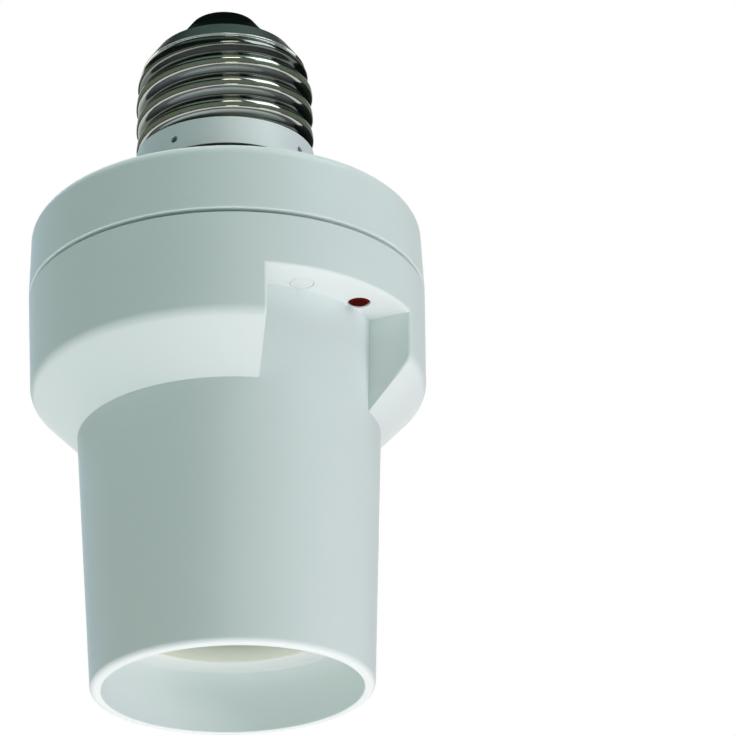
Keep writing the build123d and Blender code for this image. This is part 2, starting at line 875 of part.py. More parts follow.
def axial_part(x, y, along_x, body_r, body_length, lead_r=0.35):
    """A round component lying on the board, its two leads bent down into it."""
    z = board_top_z + body_r + 0.3
    reach = body_length / 2 + 1.0
    rotation = (0, 90, 0) if along_x else (90, 0, 0)
    ends = [(x - reach, y), (x + reach, y)] if along_x else [(x, y - reach), (x, y + reach)]
    with BuildPart() as piece:
        with Locations((x, y, z)):
            Cylinder(body_r, body_length, rotation=rotation)
        fillet(edges(), 0.3 * body_r)
        with BuildLine():
            route = FilletPolyline(
                (*ends[0], board_top_z),
                (*ends[0], z),
                (*ends[1], z),
                (*ends[1], board_top_z),
                radius=2 * lead_r,
            )
        with BuildSketch(Plane(origin=route @ 0, z_dir=route % 0)):
            Circle(lead_r)
        sweep(path=route)
    return piece.part


fuse_place = (-15.5, -2.2)
fuse_r = 1.3
fuse_length = 6.5
with BuildPart() as fuse:
    add(axial_part(*fuse_place, True, fuse_r, fuse_length))
fuse.part.label = "fuse"
export_step(fuse.part, "parts/fuse.step")

resistor_place = (-14.0, -11.8)
resistor_r = 2.2
resistor_length = 8.5
with BuildPart() as dropper_resistor:
    add(axial_part(*resistor_place, False, resistor_r, resistor_length))
dropper_resistor.part.label = "dropper_resistor"
export_step(dropper_resistor.part, "parts/dropper_resistor.step")

diode_columns = (11.6, 14.8)
diode_rows = (-11.6, -17.4)
diode_r = 1.3
diode_length = 3.0
with BuildPart() as rectifier_diodes:
    for diode_x in diode_columns:
        for diode_y in diode_rows:
            add(axial_part(diode_x, diode_y, False, diode_r, diode_length))
rectifier_diodes.part.label = "rectifier_diodes"
export_step(rectifier_diodes.part, "parts/rectifier_diodes.step")

# Controller and radio receiver under the board
chip_place = (10, 11)
chip_length = 8.6
chip_width = 3.9
chip_height = 1.5
chip_gap = 0.15
chip_legs = 7
chip_leg_pitch = 1.27
chip_leg_width = 0.4
chip_leg_thickness = 0.4
chip_leg_span = 6.0
with BuildPart() as controller_chip:
    with BuildSketch(Plane.XY.offset(board_z - chip_gap)):
        with Locations(chip_place):
            Rectangle(chip_length, chip_width)
    extrude(amount=-chip_height)
    with BuildSketch(Plane.XY.offset(board_z)):
        with Locations(chip_place):
            with GridLocations(chip_leg_pitch, 1, chip_legs, 1):
                Rectangle(chip_leg_width, chip_leg_span)
    extrude(amount=-chip_leg_thickness)
controller_chip.part.label = "controller_chip"
export_step(controller_chip.part, "parts/controller_chip.step")

receiver_x = -2
receiver_y = 18.6
receiver_width = 16
receiver_thickness = 1.0
receiver_foot_z = 48.0
receiver_top_z = 56.2
pin_pitch = 2.54
pin_width = 0.6
pin_count = 4
with BuildPart() as receiver_board:
    with BuildSketch(Plane.XY.offset(receiver_foot_z)):
        with Locations((receiver_x, receiver_y)):
            Rectangle(receiver_width, receiver_thickness)
    extrude(amount=receiver_top_z - receiver_foot_z)
receiver_board.part.label = "receiver_board"
export_step(receiver_board.part, "parts/receiver_board.step")

with BuildPart() as receiver_pins:
    with BuildSketch(Plane.XY.offset(receiver_top_z)):
        with Locations((receiver_x, receiver_y)):
            with GridLocations(pin_pitch, 1, pin_count, 1):
                Rectangle(pin_width, pin_width)
    extrude(amount=board_z - receiver_top_z)
receiver_pins.part.label = "receiver_pins"
export_step(receiver_pins.part, "parts/receiver_pins.step")

coil_x = -13.5
coil_y = 11.5
coil_mid_z = 52.2
coil_r = 2.2
coil_hole_r = 1.4
coil_length = 8
coil_end_r = 0.35
coil_end_length = 1.6
with BuildPart() as antenna_coil:
    with Locations((coil_x, coil_y, coil_mid_z)):
        Cylinder(coil_r, coil_length)
        Cylinder(coil_hole_r, coil_length, mode=Mode.SUBTRACT)
    with Locations((coil_x + (coil_r + coil_hole_r) / 2, coil_y, coil_mid_z + coil_length / 2)):
        Cylinder(coil_end_r, coil_end_length)
antenna_coil.part.label = "antenna_coil"
export_step(antenna_coil.part, "parts/antenna_coil.step")


def lead(*points, radius):
    """An insulated wire along straight runs joined by arcs."""
    with BuildPart() as wire:
        with BuildLine():
            route = FilletPolyline(*points, radius=radius)
        with BuildSketch(Plane(origin=route @ 0, z_dir=route % 0)):
            Circle(wire_r)
        sweep(path=route)
    return wire.part


# Leads from the two caps to the board
contact_end = (0, 0, contact_shank_z)
cap_lead_y = -4
centre_lead_x = -1.5
centre_lead_bend_z = 84
cap_lead_x = 3
shell_lead_x = 6.5
shell_lead_bend_z = 82
shell_lead_top_z = 95.1
with BuildPart() as cap_centre_lead:
    add(
        lead(
            (centre_lead_x, cap_lead_y, board_top_z),
            (centre_lead_x, cap_lead_y, wire_rise_z),
            (0, 0, centre_lead_bend_z),
            contact_end,
            radius=[14, 14],
        )
    )
cap_centre_lead.part.label = "cap_centre_lead"
export_step(cap_centre_lead.part, "parts/cap_centre_lead.step")

with BuildPart() as cap_shell_lead:
    add(
        lead(
            (cap_lead_x, cap_lead_y, board_top_z),
            (cap_lead_x, cap_lead_y, wire_rise_z),
            (shell_lead_x, 0, shell_lead_bend_z),
            (shell_lead_x, 0, shell_lead_top_z),
            (shell_thread_inner_r - 0.05, 0, shell_lead_top_z),
            radius=[10, 10, 2.2],
        )
    )
cap_shell_lead.part.label = "cap_shell_lead"
export_step(cap_shell_lead.part, "parts/cap_shell_lead.step")

# Leads from the board to the lampholder's terminals
lamp_lead_turn_z = 53
lamp_lead_low_z = 49.5
lamp_lead_round = 2.5
board_lead_x = shell_tab_x - 2
board_lead_y = 8
with BuildPart() as lamp_centre_lead:
    add(
        lead(
            (contact_tab_x, 2, board_z),
            (contact_tab_x, 2, lamp_lead_turn_z),
            (contact_tab_x, 0, lamp_lead_low_z),
            (contact_tab_x, 0, tab_top_z),
            radius=[lamp_lead_round, lamp_lead_round],
        )
    )
lamp_centre_lead.part.label = "lamp_centre_lead"
export_step(lamp_centre_lead.part, "parts/lamp_centre_lead.step")

with BuildPart() as lamp_shell_lead:
    add(
        lead(
            (board_lead_x, board_lead_y, board_z),
            (board_lead_x, board_lead_y, lamp_lead_turn_z),
            (shell_tab_x, lug_rivet_y, lamp_lead_low_z),
            (shell_tab_x, lug_rivet_y, tab_top_z),
            radius=[lamp_lead_round, lamp_lead_round],
        )
    )
lamp_shell_lead.part.label = "lamp_shell_lead"
export_step(lamp_shell_lead.part, "parts/lamp_shell_lead.step")
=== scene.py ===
"""Dimmable lamp socket adapter: the moulded housing and cover, the metal screw cap, the lampholder
inside the skirt, and the two small parts in the notch, with their finishes, lights and camera."""

import json
import math

import bpy
from mathutils import Matrix, Vector


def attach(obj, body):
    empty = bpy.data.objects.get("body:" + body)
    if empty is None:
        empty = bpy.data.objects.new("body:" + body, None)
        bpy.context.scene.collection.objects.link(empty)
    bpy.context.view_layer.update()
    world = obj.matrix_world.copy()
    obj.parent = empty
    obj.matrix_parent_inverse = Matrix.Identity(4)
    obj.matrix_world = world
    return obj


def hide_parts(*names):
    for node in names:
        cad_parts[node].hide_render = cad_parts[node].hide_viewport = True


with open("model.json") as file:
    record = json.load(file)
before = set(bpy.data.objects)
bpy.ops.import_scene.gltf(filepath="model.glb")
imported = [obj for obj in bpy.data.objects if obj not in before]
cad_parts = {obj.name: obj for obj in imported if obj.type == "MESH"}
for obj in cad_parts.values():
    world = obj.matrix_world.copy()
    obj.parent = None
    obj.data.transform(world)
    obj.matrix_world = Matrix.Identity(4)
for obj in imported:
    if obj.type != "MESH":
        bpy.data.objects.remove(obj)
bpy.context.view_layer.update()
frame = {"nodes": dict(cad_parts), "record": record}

MM = 0.001
SMOOTH = math.radians(32)
ROUND_SEGMENTS = 256
THREAD_SEGMENTS = 192

# Sizes of the visible pieces, in millimetres. Most are the model's; the rim, the ledge's mouth, the
# lampholder's collar and the start of the cap's groove follow the photograph more closely
RIM_R = 19.47
RIM_Z = -0.2
RIM_ROUND = 0.8
SKIRT_TOP_R = 21.41
SKIRT_TOP_Z = 37.13
SKIRT_SLOPE = (SKIRT_TOP_R - RIM_R) / SKIRT_TOP_Z
SKIRT_WALL = 1.5
LEDGE_Z = 9.1
LEDGE_TOP_Z = 10.7
LEDGE_TOP_R = 18.43
MOUTH_R = 14.9
CHAMBER_TOP_R = 19.81
CHAMBER_TOP_Z = 37.7
FOOT_R = 28.08
FOOT_Z = 44.0
FOOT_ROUND = 2.4
INNER_R = 26.0
INNER_FOOT_Z = 44.1
INNER_FOOT_ROUND = 1.2
WALL_TOP_R = 28.46
WALL_TOP_Z = 58.65
LIP_R = 26.9
LIP_TOP_Z = 61.2
ROOF_Z = 51.0
ROOF_TOP_Z = 52.6
NOTCH_HALF = 26.8
NOTCH_SIDE = 4.0
NOTCH_ROUND = 0.65
HOLE_CIRCLE_R = 23.75
HOLE_ANGLE = 12.4
LED_HOLE_R = 1.6
BUTTON_HOLE_R = 1.7
HOLE_ROUND = 0.12
COVER_FOOT_Z = 59.25
COVER_R = 28.48
COVER_CORNER = (28.17, 69.0)
COVER_INNER = (26.4, 67.74)
NECK_R = 13.15
NECK_Z = 77.3
NECK_SEAT_R = 11.9
NECK_SEAT_Z = NECK_Z + 0.6
NECK_WALL_R = 12.6
NECK_WALL_TOP_Z = 80.7
SPIGOT_R = 11.55
SPIGOT_Z = 81.3
SPIGOT_TOP_Z = 94.0
SPIGOT_BORE_R = 9.8
PITCH = 25.4 / 7
CREST_R = 13.1
ROOT_R = 12.1
GROOVE_START_Z = 81.2
GROOVE_START_TURN = -0.45
GROOVE_TURNS = 3.68
BAND_FOOT_Z = 77.65
BAND_TOP_Z = 82.1
CREST_END_Z = 92.75
BEAD = (12.5, 95.5)
SCORE = (11.95, 96.3)
CONE_FOOT = (12.15, 96.55)
CONE_TOP = (10.2, 99.3)
SHEET = 0.35
SHEET_ROW = 0.16


class Value:
    """A shader socket that Python's arithmetic works on; each operator adds its Math node."""

    def __init__(self, tree, socket):
        self.tree = tree
        self.socket = socket

    def maths(self, operation, first, second):
        return self.tree.node("ShaderNodeMath", {"operation": operation}, {0: first, 1: second})

    def __add__(self, other):
        return self.maths("ADD", self, other)

    def __radd__(self, other):
        return self.maths("ADD", other, self)

    def __sub__(self, other):
        return self.maths("SUBTRACT", self, other)

    def __rsub__(self, other):
        return self.maths("SUBTRACT", other, self)

    def __mul__(self, other):
        return self.maths("MULTIPLY", self, other)

    def __rmul__(self, other):
        return self.maths("MULTIPLY", other, self)

    def __pow__(self, other):
        return self.maths("POWER", self, other)

    def band(self, low, high):
        """0 below low, 1 above high, and smooth between."""
        settings = {"interpolation_type": "SMOOTHSTEP"}
        return self.tree.node("ShaderNodeMapRange", settings, {0: self, 1: low, 2: high})


class Finish:
    """A material with one Principled shader, and the methods that add nodes to it."""

    def __init__(self, name, **constants):
        self.material = bpy.data.materials.new(name)
        self.material.use_nodes = True
        self.nodes = self.material.node_tree.nodes
        self.links = self.material.node_tree.links
        self.shader = self.nodes["Principled BSDF"]
        for socket, value in constants.items():
            self.shader.inputs[socket.replace("_", " ")].default_value = value

    def node(self, kind, settings, inputs, output=0):
        """Adds a node: settings first, then the values or links of its sockets."""
        made = self.nodes.new(kind)
        for key, value in settings.items():
            setattr(made, key, value)
        for key, value in inputs.items():
            if isinstance(value, Value):
                self.links.new(value.socket, made.inputs[key])
            else:
                made.inputs[key].default_value = value
        return Value(self, made.outputs[output])

    def place(self):
        """The point's place on the piece, in metres."""
        return self.node("ShaderNodeTexCoord", {}, {}, "Object")

    def height(self):
        return self.node("ShaderNodeSeparateXYZ", {}, {0: self.place()}, "Z")

    def from_axis(self, x=0, y=0):
        """The distance from the upright line through a place, given in metres."""
        inputs = {"Vector": self.place(), "Location": (-x, -y, 0)}
        centred = self.node("ShaderNodeMapping", {}, inputs)
        across = self.node("ShaderNodeSeparateXYZ", {}, {0: centred}, "X")
        along = self.node("ShaderNodeSeparateXYZ", {}, {0: centred}, "Y")
        return (across * across + along * along) ** 0.5

    def stretched(self, x, y, z):
        return self.node("ShaderNodeMapping", {}, {"Vector": self.place(), "Scale": (x, y, z)})

    def noise(self, scale, detail=3.0, roughness=0.5, vector=None):
        inputs = {
            "Vector": vector or self.place(),
            "Scale": scale,
            "Detail": detail,
            "Roughness": roughness,
        }
        return self.node("ShaderNodeTexNoise", {}, inputs, "Fac")

    def blend(self, factor, first, second):
        """A colour between two, by a factor."""
        inputs = {"Factor": factor, 6: first, 7: second}
        return self.node("ShaderNodeMix", {"data_type": "RGBA"}, inputs, 2)

    def feed(self, socket, value):
        self.links.new(value.socket, self.shader.inputs[socket])

    def bump(self, height, distance):
        """Relief of a depth in metres."""
        inputs = {"Height": height, "Distance": distance, "Strength": 1.0}
        self.feed("Normal", self.node("ShaderNodeBump", {}, inputs))


def shade(colour, factor):
    """The colour, darker or lighter by a factor."""
    return tuple(min(1.0, channel * factor) for channel in colour[:3]) + (1.0,)


def moulded(name, colour, roughness=0.42, grain=0.35, grain_depth=0.006, vary=0.03):
    """A moulded plastic: fine spark-eroded grain, slight changes of tone and gloss."""
    finish = Finish(name, IOR=1.5)
    tone = finish.noise(45, 2)
    finish.feed("Base Color", finish.blend(tone, shade(colour, 1 - vary), shade(colour, 1 + vary)))
    grains = finish.noise(1 / (grain * MM), 2, 0.6)
    finish.feed("Roughness", roughness - 0.05 + 0.1 * finish.noise(160, 4))
    finish.bump(grains, grain_depth * MM)
    return finish.material


def polished(name, colour, roughness, scratch=0.6, depth=0.002, vary=0.08):
    """A plated or rolled metal with fine marks that run round the axis."""
    finish = Finish(name, Metallic=1.0)
    marks = finish.noise(220, 5, 0.65, finish.stretched(1, 1, 14))
    cloud = finish.noise(90, 3)
    finish.feed("Base Color", finish.blend(cloud, shade(colour, 1 - vary), shade(colour, 1 + vary)))
    finish.feed("Roughness", roughness * (1 - scratch / 2 + scratch * marks))
    finish.bump(marks, depth * MM)
    return finish.material


# Finishes
PALE = (0.76, 0.806, 0.795, 1)
pale_plastic = moulded("pale_plastic", PALE)
button_plastic = moulded("button_plastic", shade(PALE, 0.96), 0.36)
cream_plastic = moulded("cream_plastic", (0.71, 0.74, 0.64, 1), 0.36)
black_plastic = moulded("black_plastic", (0.02, 0.021, 0.022, 1), 0.45)


def shell_plate():
    """Nickel plate: satin on the plain band and bright on the thread's crests. Painted shade
    darkens every hollow and the cone, a painted highlight makes a bright ring at the score under
    the cone, and a painted shadow makes a near-black ring at the foot."""
    finish = Finish("nickel_plate")
    height = finish.height()
    on_thread = height.band(BAND_TOP_Z * MM, (BAND_TOP_Z + 0.2) * MM)
    # Painted highlight: from on_edge up to on_cone the plate gets a bright ring, at the score under
    # the cone
    on_edge = height.band((CONE_FOOT[1] - 0.4) * MM, (CONE_FOOT[1] - 0.25) * MM)
    on_cone = height.band(CONE_FOOT[1] * MM, (CONE_FOOT[1] + 0.2) * MM)
    # Painted shadow: below above_foot the band's foot is near black, for the shade in the gap over
    # the cover
    above_foot = height.band((BAND_FOOT_Z + 0.15) * MM, (BAND_FOOT_Z + 0.25) * MM)
    # Painted shade: the raised mask gives a dark colour to every point nearer the axis than the
    # crests, the thread's hollows
    raised = finish.from_axis().band((CREST_R - 0.7) * MM, (CREST_R - 0.1) * MM)
    cloud = finish.noise(120, 4, 0.6)
    band = finish.blend(cloud, (0.84, 0.85, 0.87, 1), (0.90, 0.91, 0.93, 1))
    crest = finish.blend(cloud, (0.43, 0.45, 0.41, 1), (0.55, 0.57, 0.53, 1))
    painted_hollow_shade = finish.blend(cloud, (0.11, 0.12, 0.11, 1), (0.14, 0.15, 0.14, 1))
    metal_with_painted_hollow_shade = finish.blend(raised, painted_hollow_shade, finish.blend(on_thread, band, crest))
    # Painted highlight and painted shade: bright at the cone's foot, dark over the cone itself
    cone = finish.blend(on_cone, (0.85, 0.87, 0.85, 1), (0.18, 0.19, 0.18, 1))
    plated = finish.blend(on_edge, metal_with_painted_hollow_shade, cone)
    # The near-black colour here is the painted shadow at the band's foot
    finish.feed("Base Color", finish.blend(above_foot, (0.02, 0.024, 0.022, 1), plated))
    marks = finish.noise(260, 5, 0.65, finish.stretched(1, 1, 16))
    finish.feed("Metallic", 0.35 + 0.65 * on_thread)
    gloss = 0.55 - 0.44 * on_thread + 0.3 * on_cone
    finish.feed("Roughness", gloss * (0.8 + 0.4 * marks))
    finish.bump(marks, 0.0025 * MM)
    return finish.material


def solder():
    """Dull solder with a ripple from its cooling."""
    finish = Finish("solder", Metallic=1.0)
    cloud = finish.noise(700, 4, 0.6)
    colours = (0.46, 0.47, 0.48, 1), (0.66, 0.67, 0.68, 1)
    finish.feed("Base Color", finish.blend(cloud, *colours))
    finish.feed("Roughness", 0.28 + 0.25 * cloud)
    finish.bump(finish.noise(1500, 3), 0.03 * MM)
    return finish.material


def black_glass():
    """Black glass of the cap's insulator, dulled, with a few ripples."""
    finish = Finish("black_glass", IOR=1.06)
    cloud = finish.noise(300, 3)
    dark = finish.blend(cloud, (0.001, 0.0022, 0.002, 1), (0.002, 0.0035, 0.003, 1))
    finish.feed("Base Color", dark)
    finish.feed("Roughness", 0.50 + 0.12 * cloud)
    finish.bump(finish.noise(420, 2), 0.03 * MM)
    return finish.material


def red_lens():
    """Dark red tinted resin, with a painted glow: its red turns lighter towards its edge."""
    finish = Finish("red_lens", IOR=1.03)
    led_x, led_y = notch_place(HOLE_CIRCLE_R * MM, HOLE_ANGLE)
    # Painted glow: the edge mask lightens the red towards the lens's rim
    edge = finish.from_axis(led_x, led_y).band(0.9 * MM, 1.5 * MM)
    mottle = finish.noise(1500, 2)
    deep = finish.blend(mottle, (0.038, 0.002, 0.002, 1), (0.07, 0.004, 0.003, 1))
    finish.feed("Base Color", finish.blend(edge, deep, (0.13, 0.012, 0.009, 1)))
    finish.feed("Roughness", 0.22 + 0.12 * mottle)
    return finish.material


def board():
    """Green lacquered laminate with its weave showing faintly."""
    finish = Finish("board", IOR=1.5)
    threads = {"Vector": finish.place(), "Scale": 1600.0}
    weave = finish.node("ShaderNodeTexChecker", {}, threads, "Fac")
    cloud = finish.noise(200, 3)
    green = finish.blend(cloud, (0.01, 0.09, 0.03, 1), (0.02, 0.14, 0.05, 1))
    finish.feed("Base Color", green)
    finish.feed("Roughness", 0.30 + 0.08 * weave)
    finish.bump(weave, 0.004 * MM)
    return finish.material


def deselect():
    bpy.ops.object.select_all(action="DESELECT")


def make_active(piece):
    deselect()
    piece.select_set(True)
    bpy.context.view_layer.objects.active = piece


def rounded(points, radii, steps=6):
    """The closed outline with an arc in place of each corner that has a radius."""
    made = []
    count = len(points)
    for index, (corner, radius) in enumerate(zip(points, radii)):
        here = Vector(corner)
        if not radius:
            made.append(here)
            continue
        back = (Vector(points[index - 1]) - here).normalized()
        ahead = (Vector(points[(index + 1) % count]) - here).normalized()
        half = back.angle(ahead) / 2
        centre = here + (back + ahead).normalized() * (radius / math.sin(half))
        first = here + back * (radius / math.tan(half))
        last = here + ahead * (radius / math.tan(half))
        start = first - centre
        turn = start.angle_signed(last - centre)
        for step in range(steps + 1):
            made.append(centre + Matrix.Rotation(-turn * step / steps, 2) @ start)
    return made


def notch_place(radius, angle):
    """The point at a radius from the axis, at an angle from -Y towards +X."""
    turn = math.radians(angle)
    return (radius * math.sin(turn), -radius * math.cos(turn))


def skirt_r(height):
    """The skirt's outer radius at a height."""
    return RIM_R + SKIRT_SLOPE * height


def drawn_line(name, places, closed):
    """A piece of edges: one vertex, extruded from place to place, in millimetres."""
    deselect()
    first = Vector(places[0])
    bpy.ops.mesh.primitive_plane_add(size=MM, location=first * MM)
    piece = bpy.context.active_object
    bpy.ops.object.transform_apply()
    piece.name = name
    bpy.ops.object.mode_set(mode="EDIT")
    bpy.ops.mesh.select_mode(type="VERT")
    bpy.ops.mesh.select_all(action="SELECT")
    bpy.ops.mesh.merge(type="CENTER")
    for here, there in zip(places, list(places[1:]) + [first] * closed):
        step = (Vector(there) - Vector(here)) * MM
        bpy.ops.mesh.extrude_region_move(TRANSFORM_OT_translate={"value": step})
    bpy.ops.mesh.select_all(action="SELECT")
    bpy.ops.mesh.remove_doubles(threshold=0.0005 * MM)
    bpy.ops.object.mode_set(mode="OBJECT")
    return piece


def outline_piece(name, points, start_angle=90.0):
    """A section's outline at an angle from -Y about the axis. It is closed, unless it starts and
    ends on the axis or has two points only."""
    places = []
    for radius, height in points:
        x, y = notch_place(radius, start_angle)
        places.append((x, y, height))
    return drawn_line(name, places, closed=points[0][0] > 0 and len(points) > 2)


def spin(piece, angle, steps):
    """Turns the outline about the axis, counter-clockwise from above."""
    make_active(piece)
    bpy.ops.object.mode_set(mode="EDIT")
    bpy.ops.mesh.select_all(action="SELECT")
    bpy.ops.mesh.spin(steps=steps, angle=-angle, center=(0, 0, 0), axis=(0, 0, 1))
    bpy.ops.mesh.select_all(action="SELECT")
    bpy.ops.mesh.remove_doubles(threshold=0.002 * MM)
    bpy.ops.object.mode_set(mode="OBJECT")


def outward(piece):
    """Faces point out of the closed surface."""
    make_active(piece)
    bpy.ops.object.mode_set(mode="EDIT")
    bpy.ops.mesh.select_all(action="SELECT")
    bpy.ops.mesh.normals_make_consistent(inside=False)
    bpy.ops.object.mode_set(mode="OBJECT")


def lathe(name, points, radii=None, segments=ROUND_SEGMENTS):
    """A closed ring turned from an outline whose corners have the radii given."""
    outline = rounded(points, radii) if radii else [Vector(p) for p in points]
    piece = outline_piece(name, outline)
    spin(piece, 2 * math.pi, segments)
    outward(piece)
    return piece


def modify(piece, kind, **settings):
    """Adds a modifier, sets it and applies it."""
    make_active(piece)
    modifier = piece.modifiers.new(kind.title(), kind)
    for key, value in settings.items():
        setattr(modifier, key, value)
    bpy.ops.object.modifier_apply(modifier=modifier.name)


def cut(piece, cutter):
    """Takes the cutter out of the piece and deletes the cutter."""
    modify(piece, "BOOLEAN", operation="DIFFERENCE", object=cutter, solver="EXACT")
    bpy.data.objects.remove(cutter, do_unlink=True)


def bevel_edges(piece, wanted, width, segments=3):
    """Rounds the edges that wanted says yes to, given their two ends in millimetres."""
    make_active(piece)
    mesh = piece.data
    for element in (*mesh.polygons, *mesh.vertices):
        element.select = False
    for edge in mesh.edges:
        first, second = (mesh.vertices[i].co / MM for i in edge.vertices)
        edge.select = wanted(first, second)
    bpy.ops.object.mode_set(mode="EDIT")
    bpy.ops.mesh.select_mode(type="EDGE")
    bpy.ops.mesh.bevel(offset=width * MM, segments=segments, affect="EDGES", clamp_overlap=True)
    bpy.ops.object.mode_set(mode="OBJECT")


def move(piece, x, y, z=0):
    """Moves the piece's mesh by millimetres; its origin stays."""
    make_active(piece)
    bpy.ops.object.mode_set(mode="EDIT")
    bpy.ops.mesh.select_all(action="SELECT")
    bpy.ops.transform.translate(value=(x * MM, y * MM, z * MM))
    bpy.ops.object.mode_set(mode="OBJECT")


def settle(piece, name, material, body, slot, *nodes, weigh=True):
    """Names, shades and finishes a piece, and hands it to the body that carries it."""
    make_active(piece)
    piece.name = name
    piece.data.name = name
    bpy.ops.object.shade_smooth_by_angle(angle=SMOOTH)
    if weigh:
        modify(piece, "WEIGHTED_NORMAL", keep_sharp=True, weight=50)
    piece.data.materials.clear()
    piece.data.materials.append(material)
    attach(piece, body)
    if nodes:
        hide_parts(*nodes)
    return piece


def angle_of(point):
    """A point's angle from -Y towards +X, in degrees."""
    return math.degrees(math.atan2(point.x, -point.y))


# Main housing
ROOF_CONE_R = skirt_r(ROOF_Z)
ROOF_EDGE_R = FOOT_R + (WALL_TOP_R - FOOT_R) * (ROOF_Z - FOOT_Z) / (WALL_TOP_Z - FOOT_Z)


def housing_outline(notched_outside, notched_inside):
    """The housing's section, its corners with their radii: outside and inside each with or without
    the notch's walls."""
    points = [(RIM_R, RIM_Z, RIM_ROUND)]
    points.append((SKIRT_TOP_R, SKIRT_TOP_Z, 0))
    points.append((ROOF_CONE_R, ROOF_Z, 0) if notched_outside else (FOOT_R, FOOT_Z, FOOT_ROUND))
    points.append((ROOF_EDGE_R, ROOF_Z, 0))
    points += [(WALL_TOP_R, WALL_TOP_Z, 0.15), (LIP_R, WALL_TOP_Z, 0), (LIP_R, LIP_TOP_Z, 0.3)]
    points += [(INNER_R, LIP_TOP_Z, 0.2), (INNER_R, ROOF_TOP_Z, 0)]
    if notched_inside:
        points.append((CHAMBER_TOP_R, ROOF_TOP_Z, 0))
    else:
        points.append((INNER_R, INNER_FOOT_Z, INNER_FOOT_ROUND))
    points += [
        (CHAMBER_TOP_R, CHAMBER_TOP_Z, 0),
        (LEDGE_TOP_R, LEDGE_TOP_Z, 0.4),
        (MOUTH_R, LEDGE_TOP_Z, 0.15),
        (MOUTH_R, LEDGE_Z, 0.25),
        (skirt_r(LEDGE_Z) - SKIRT_WALL - 0.1, LEDGE_Z, 0.4),
        (RIM_R - SKIRT_WALL, RIM_Z, 0.2),
    ]
    return rounded([p[:2] for p in points], [p[2] for p in points])


def housing_sector(start, end, notched_outside, notched_inside):
    """The housing between two angles from the notch's middle, open at both ends."""
    outline = housing_outline(notched_outside, notched_inside)
    piece = outline_piece("sector", outline, start)
    steps = max(4, round((end - start) / 360 * ROUND_SEGMENTS))
    spin(piece, math.radians(end - start), steps)
    return piece


def housing():
    """Four sectors joined, their open sides closed, holes cut and the notch's edges rounded."""
    wide = NOTCH_HALF + NOTCH_SIDE
    sectors = [
        housing_sector(-NOTCH_HALF, NOTCH_HALF, True, True),
        housing_sector(NOTCH_HALF, wide, False, True),
        housing_sector(wide, 360 - wide, False, False),
        housing_sector(-wide, -NOTCH_HALF, False, True),
    ]
    deselect()
    for sector in sectors:
        sector.select_set(True)
    bpy.context.view_layer.objects.active = sectors[0]
    bpy.ops.object.join()
    piece = sectors[0]
    bpy.ops.object.mode_set(mode="EDIT")
    bpy.ops.mesh.select_all(action="SELECT")
    bpy.ops.mesh.remove_doubles(threshold=0.01 * MM)
    # One pass closes each open side of a sector; a pass that finds none ends the loop
    for _ in range(4):
        bpy.ops.mesh.select_mode(type="EDGE")
        bpy.ops.mesh.select_all(action="DESELECT")
        bpy.ops.mesh.select_non_manifold(extend=False, use_wire=False, use_multi_face=False)
        bpy.ops.object.mode_set(mode="OBJECT")
        open_edges = [edge for edge in piece.data.edges if edge.select]
        if not open_edges:
            bpy.ops.object.mode_set(mode="EDIT")
            break
        middle = (
            piece.data.vertices[open_edges[0].vertices[0]].co
            + piece.data.vertices[open_edges[0].vertices[1]].co
        ) / 2
        side = angle_of(middle)
        for edge in piece.data.edges:
            if edge.select:
                ends = [piece.data.vertices[i].co for i in edge.vertices]
                edge.select = all(abs(angle_of(end) - side) < 0.01 for end in ends)
        for vert in piece.data.vertices:
            vert.select = False
        bpy.ops.object.mode_set(mode="EDIT")
        bpy.ops.mesh.select_mode(type="EDGE")
        bpy.ops.mesh.edge_face_add()
    bpy.ops.object.mode_set(mode="OBJECT")
    outward(piece)
    for angle, radius in ((HOLE_ANGLE, LED_HOLE_R), (-HOLE_ANGLE, BUTTON_HOLE_R)):
        # A drill through the roof, clear of it at both ends
        x, y = notch_place(HOLE_CIRCLE_R, angle)
        middle_z = (ROOF_Z + ROOF_TOP_Z) / 2
        bpy.ops.mesh.primitive_cylinder_add(
            vertices=48, radius=radius * MM, depth=4 * MM, location=(x * MM, y * MM, middle_z * MM)
        )
        cut(piece, bpy.context.active_object)

    def on_notch(first, second):
        """The notch's outward edges: its two sides and the front edge of its roof."""
        beyond = min(math.hypot(first.x, first.y), math.hypot(second.x, second.y))
        sides = [abs(abs(angle_of(end)) - NOTCH_HALF) < 0.02 for end in (first, second)]
        low = min(first.z, second.z)
        high = max(first.z, second.z)
        up_side = all(sides) and SKIRT_TOP_Z - 0.1 < low and high < ROOF_Z + 0.01
        out = beyond > skirt_r(low) + 0.02
        along_roof = abs(first.z - ROOF_Z) < 0.005 and abs(second.z - ROOF_Z) < 0.005
        inside = max(abs(angle_of(first)), abs(angle_of(second))) < NOTCH_HALF + 0.02
        front = along_roof and inside and beyond > ROOF_EDGE_R - 0.05
        return (up_side and out and high - low > 0.001) or front

    bevel_edges(piece, on_notch, NOTCH_ROUND, 4)

    def on_holes(first, second):
        """The rims of the two holes, on the roof's underside."""
        if abs(first.z - ROOF_Z) > 0.005 or abs(second.z - ROOF_Z) > 0.005:
            return False
        for angle, radius in ((HOLE_ANGLE, LED_HOLE_R), (-HOLE_ANGLE, BUTTON_HOLE_R)):
            x, y = notch_place(HOLE_CIRCLE_R, angle)
            away = [math.hypot(end.x - x, end.y - y) for end in (first, second)]
            if all(abs(distance - radius) < 0.02 for distance in away):
                return True
        return False

    bevel_edges(piece, on_holes, HOLE_ROUND, 2)
    return piece


settle(housing(), "housing_shell", pale_plastic, "adapter", "pale_plastic", "main_housing")

